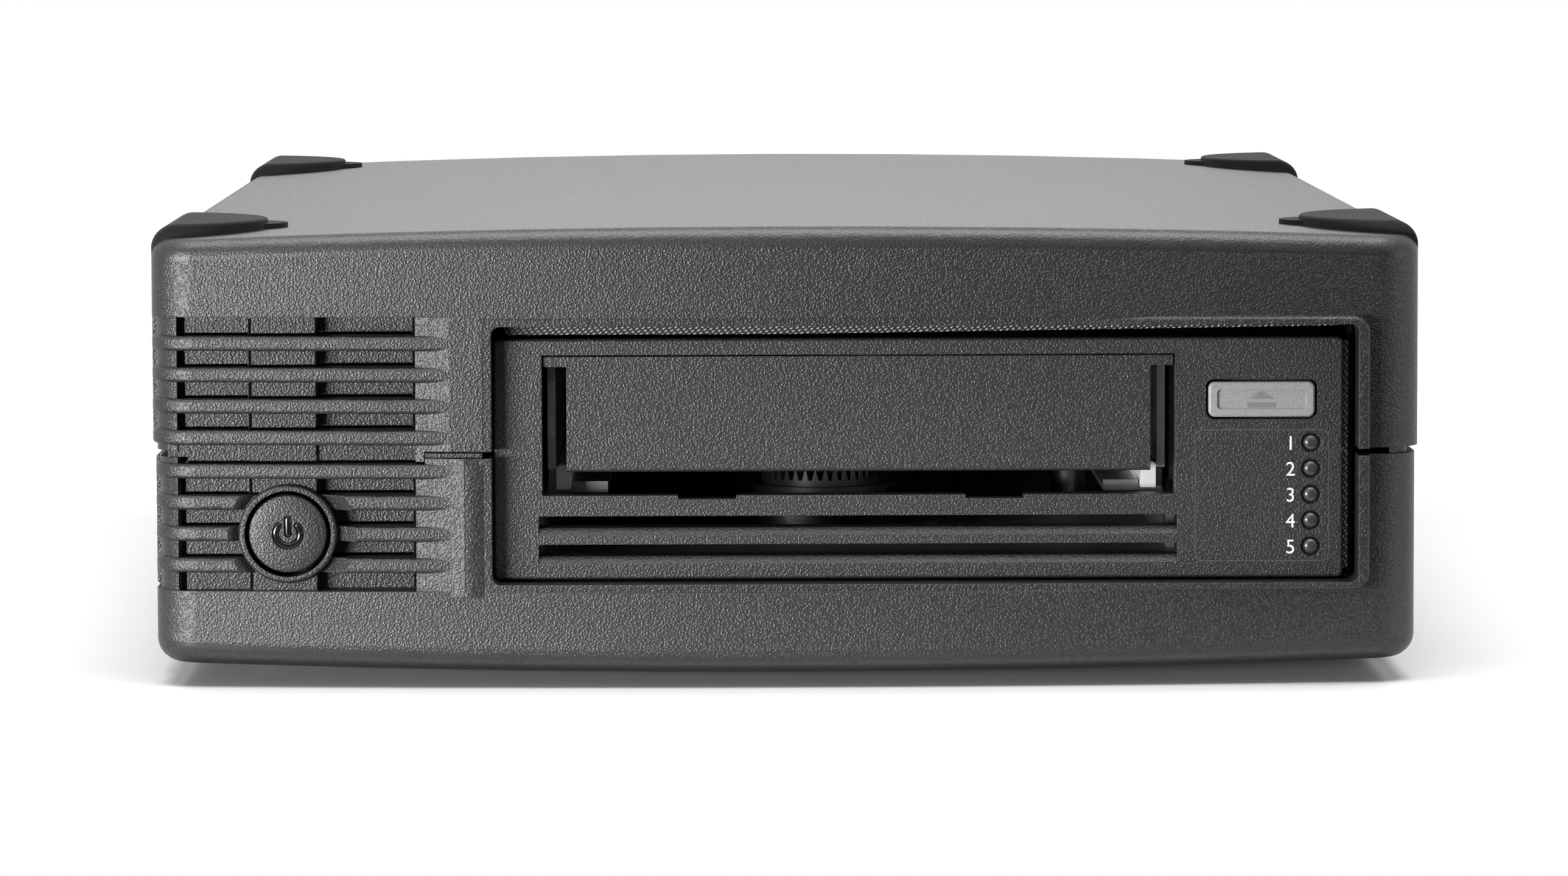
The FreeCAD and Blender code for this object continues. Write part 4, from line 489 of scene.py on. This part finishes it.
def louvre_trim():
    """Small pieces behind and beside the louvres: the rounded crest that ends the lower ramp, the
    slanting fillets that make the panels' joints read dark, and a dark plate behind the gap at
    their left end, put there as painted shade where the real case has only a shaded gap."""
    crest = ((-58.6, -156.66), (-57.2, -156.97), (-56.4, -157.13), (-55.8, -157.19), (-55.2, -157.19),
             (-54.6, -157.14), (-54.0, -157.06), (-53.4, -156.95), (-52.9, -156.86))
    crest_back = -156.4
    upright("lower_ramp_crest", list(crest) + [(x, crest_back) for x, depth in reversed(crest)],
            15.85, 39.15)
    width, depth = 0.65, 0.8
    joints = {"column_joint": (-94.15, -151.1), "ramp_joint": (-65.5, -149.5)}
    # painted shade: a dark plate closes the gap, where the real case shows only shade
    shade_plate_left, shade_plate_right, shade_plate_face = -106.7, -105.1, -147.6
    for side, low, high in (("upper", 45.2, 64.5), ("lower", 17.0, 39.0)):
        for joint, (x, front) in joints.items():
            wedge = [(x, front), (x + width, front + depth), (x, front + depth)]
            upright("%s_%s" % (joint, side), wedge, low, high)
        shade_plate = [(shade_plate_left, low), (shade_plate_right, low), (shade_plate_right, high), (shade_plate_left, high)]
        thin_plate("vent_gap_shade_plate_%s" % side, [shade_plate], shade_plate_face, CASE, "enclosure")


def rear_screws():
    """Pan heads with a cross recess, for the fan and the mains inlet. Each set has its places, the
    radius of head and shank, and the depths of the shank's tip, the seat and the top of the head."""
    fan_x, fan_z, fan_half = 66, 41, 25
    corners = [(fan_x + dx, fan_z + dz) for dx in (-fan_half, fan_half) for dz in (-fan_half, fan_half)]
    sets = {"fan_screws": (corners, 3.2, 1.8, 142.0, 155.2, 157.0),
            "inlet_screws": ([(-92, 32), (-52, 32)], 2.8, 1.45, 150.0, 157.4, 158.0)}
    cross = ((1, .2), (.32, .32), (.2, 1), (-.2, 1), (-.32, .32), (-1, .2), (-1, -.2), (-.32, -.32),
             (-.2, -1), (.2, -1), (.32, -.32), (1, -.2))
    for name, (places, head, shank, tip, seat, top) in sets.items():
        recess = 0.58 * head
        turned = bmesh.new()
        for x, z in places:
            rows = [row(turned, circle(x, z, radius, 32), y) for radius, y in (
                (shank, tip), (shank, seat), (head, seat), (head, seat + 0.4 * (top - seat)),
                (0.92 * head, seat + 0.8 * (top - seat)), (0.78 * head, top))]
            walls(turned, *rows)
            lid(turned, rows[0])
            outline = [(x + a * recess, z + b * recess) for a, b in cross]
            rim, floor = row(turned, outline, top), row(turned, outline, seat)
            walls(turned, rim, floor)
            lid(turned, floor)
            lid(turned, rows[-1], rim)
        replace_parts(piece(name + "_crosshead", turned, SCREW, "enclosure"), name)


def eject_mark():
    """Triangle over a bar on the eject button, in a darker grey: painted shade in place of its embossed
    sign.
    """
    x, point, base, half_base = 83.4, 51.3, 49.86, 2.3
    bar_high, bar_low, half_bar = 49.25, 48.34, 2.5
    triangle = [(x, point), (x - half_base, base), (x + half_base, base)]
    bar = [(x - half_bar, bar_high), (x - half_bar, bar_low), (x + half_bar, bar_low),
           (x + half_bar, bar_high)]
    thin_plate("eject_mark", [triangle, bar], EJECT_FACE - INK_AND_PAINT, EJECT_SIGN_SHADE, "eject_button")


power_button()
lamp_frame()
lamp_numbers()
louvre_trim()
rear_screws()
eject_mark()


# ---------------------------------------------------------------- floor, light, camera, in metres
def white_floor():
    """White acrylic sheet: it keeps the soft shadow under the case and a faint mirror image in
    front of it, and fades out to the white backdrop a hand's width away."""
    half_width, half_depth, hand = 0.11, 0.155, 0.07
    bpy.ops.mesh.primitive_plane_add(size=3, location=(0, 0, -0.0002))
    floor = bpy.context.object
    floor.name = "floor"
    look = bpy.data.materials.new("white_acrylic_sheet")
    look.use_nodes = True
    tree = look.node_tree
    tree.nodes.clear()
    place = node(tree, "TexCoord")["Object"]
    axes = node(tree, "SeparateXYZ", {0: place})
    beside = node(tree, "Math", {0: axes["X"]}, operation="ABSOLUTE")["Value"]
    beside = node(tree, "Math", {0: beside, 1: half_width}, operation="SUBTRACT")["Value"]
    beyond = node(tree, "Math", {0: axes["Y"]}, operation="ABSOLUTE")["Value"]
    beyond = node(tree, "Math", {0: beyond, 1: half_depth}, operation="SUBTRACT")["Value"]
    away = node(tree, "Math", {0: beside, 1: beyond}, operation="MAXIMUM")["Value"]
    fade = node(tree, "MapRange", {"Value": away, "From Min": 0.0, "From Max": hand},
                interpolation_type="SMOOTHSTEP")["Result"]
    gloss = node(tree, "MapRange", {"Value": axes["Y"], "From Min": -0.25, "From Max": -half_depth,
                                    "To Min": 0.0, "To Max": 0.16})["Result"]
    white = node(tree, "BsdfDiffuse", {"Color": linear("#f7f7f7")})["BSDF"]
    mirror = node(tree, "BsdfAnisotropic", {"Color": (1, 1, 1, 1), "Roughness": 0.1})["BSDF"]
    sheet = node(tree, "MixShader", {0: gloss, 1: white, 2: mirror})["Shader"]
    clear = node(tree, "BsdfTransparent")["BSDF"]
    faded = node(tree, "MixShader", {0: fade, 1: sheet, 2: clear})["Shader"]
    node(tree, "OutputMaterial", {"Surface": faded})
    floor.data.materials.append(look)


def studio_world():
    """White backdrop behind and above, which metal and gloss see too; the room behind the camera
    is darker, and a dim even grey fills the shadows."""
    world = bpy.data.worlds.new("studio")
    bpy.context.scene.world = world
    world.use_nodes = True
    tree = world.node_tree
    tree.nodes.clear()
    path = node(tree, "LightPath")
    aim = node(tree, "SeparateXYZ", {0: node(tree, "TexCoord")["Generated"]})
    toward = node(tree, "Math", {0: aim["Z"], 1: 1.3, 2: aim["Y"]}, operation="MULTIPLY_ADD")["Value"]
    room = node(tree, "MapRange", {"Value": toward, "From Min": -0.7, "From Max": 0.1,
                                   "To Min": 0.07, "To Max": 1.0},
                interpolation_type="SMOOTHSTEP")["Result"]
    shine = node(tree, "Math", {0: path["Is Glossy Ray"], 1: path["Is Transmission Ray"]},
                 operation="MAXIMUM")["Value"]
    fill = node(tree, "Background", {"Color": (1, 1, 1, 1), "Strength": 0.15})["Background"]
    seen = node(tree, "Background", {"Color": (1, 1, 1, 1), "Strength": room})["Background"]
    white = node(tree, "Background", {"Color": (1, 1, 1, 1), "Strength": 1.0})["Background"]
    part = node(tree, "MixShader", {0: shine, 1: fill, 2: seen})["Shader"]
    both = node(tree, "MixShader", {0: path["Is Camera Ray"], 1: part, 2: white})["Shader"]
    node(tree, "OutputWorld", {"Surface": both})


def softbox(name, place, aim, width, height, power):
    """Soft lamp of this width and height, turned to face its aim."""
    data = bpy.data.lights.new(name, "AREA")
    data.shape = "RECTANGLE"
    data.size = width
    data.size_y = height
    data.energy = power
    lamp = bpy.data.objects.new(name, data)
    lamp.location = place
    lamp.rotation_mode = "QUATERNION"
    lamp.rotation_quaternion = (Vector(aim) - Vector(place)).to_track_quat("-Z", "Y")
    bpy.context.scene.collection.objects.link(lamp)


def studio_lamps():
    """A low strip near the left front, whose sheen falls off to the right, a weak one like it on
    the right, a sheet behind for the rear, and a wide sheet overhead for the top."""
    softbox("key_left", (-0.43, -0.62, 0.032), (-0.03, -0.15, 0.036), 0.34, 0.085, 8.5)
    softbox("edge_right", (0.68, -0.42, 0.032), (0.1, -0.15, 0.036), 0.3, 0.085, 0.8)
    softbox("back_sheet", (0.0, 1.1, 0.6), (0.0, 0.0, 0.08), 0.5, 0.4, 1.0)
    softbox("top_sheet", (0.0, -0.25, 0.95), (0.0, -0.2, 0.06), 0.9, 0.75, 14)


def camera():
    """Eye a little above the case and far back, so the lines run nearly parallel."""
    place = (-0.01065, -1.3581, 0.1416)
    yaw, pitch, roll = (math.radians(a) for a in (0.49, 4.66, -0.17))
    ahead = Vector((math.sin(yaw) * math.cos(pitch), math.cos(yaw) * math.cos(pitch), -math.sin(pitch)))
    level = Vector((math.cos(yaw), -math.sin(yaw), 0))
    above = level.cross(ahead)
    right = math.cos(roll) * level + math.sin(roll) * above
    up = math.cos(roll) * above - math.sin(roll) * level
    data = bpy.data.cameras.new("camera")
    data.sensor_width = 36.0
    data.lens = 158.56
    eye = bpy.data.objects.new("camera", data)
    turn = Matrix((right, up, -ahead)).transposed().to_4x4()
    eye.matrix_world = Matrix.Translation(place) @ turn
    bpy.context.scene.collection.objects.link(eye)
    bpy.context.scene.camera = eye


white_floor()
studio_world()
studio_lamps()
camera()
bpy.context.scene.view_settings.view_transform = "Standard"
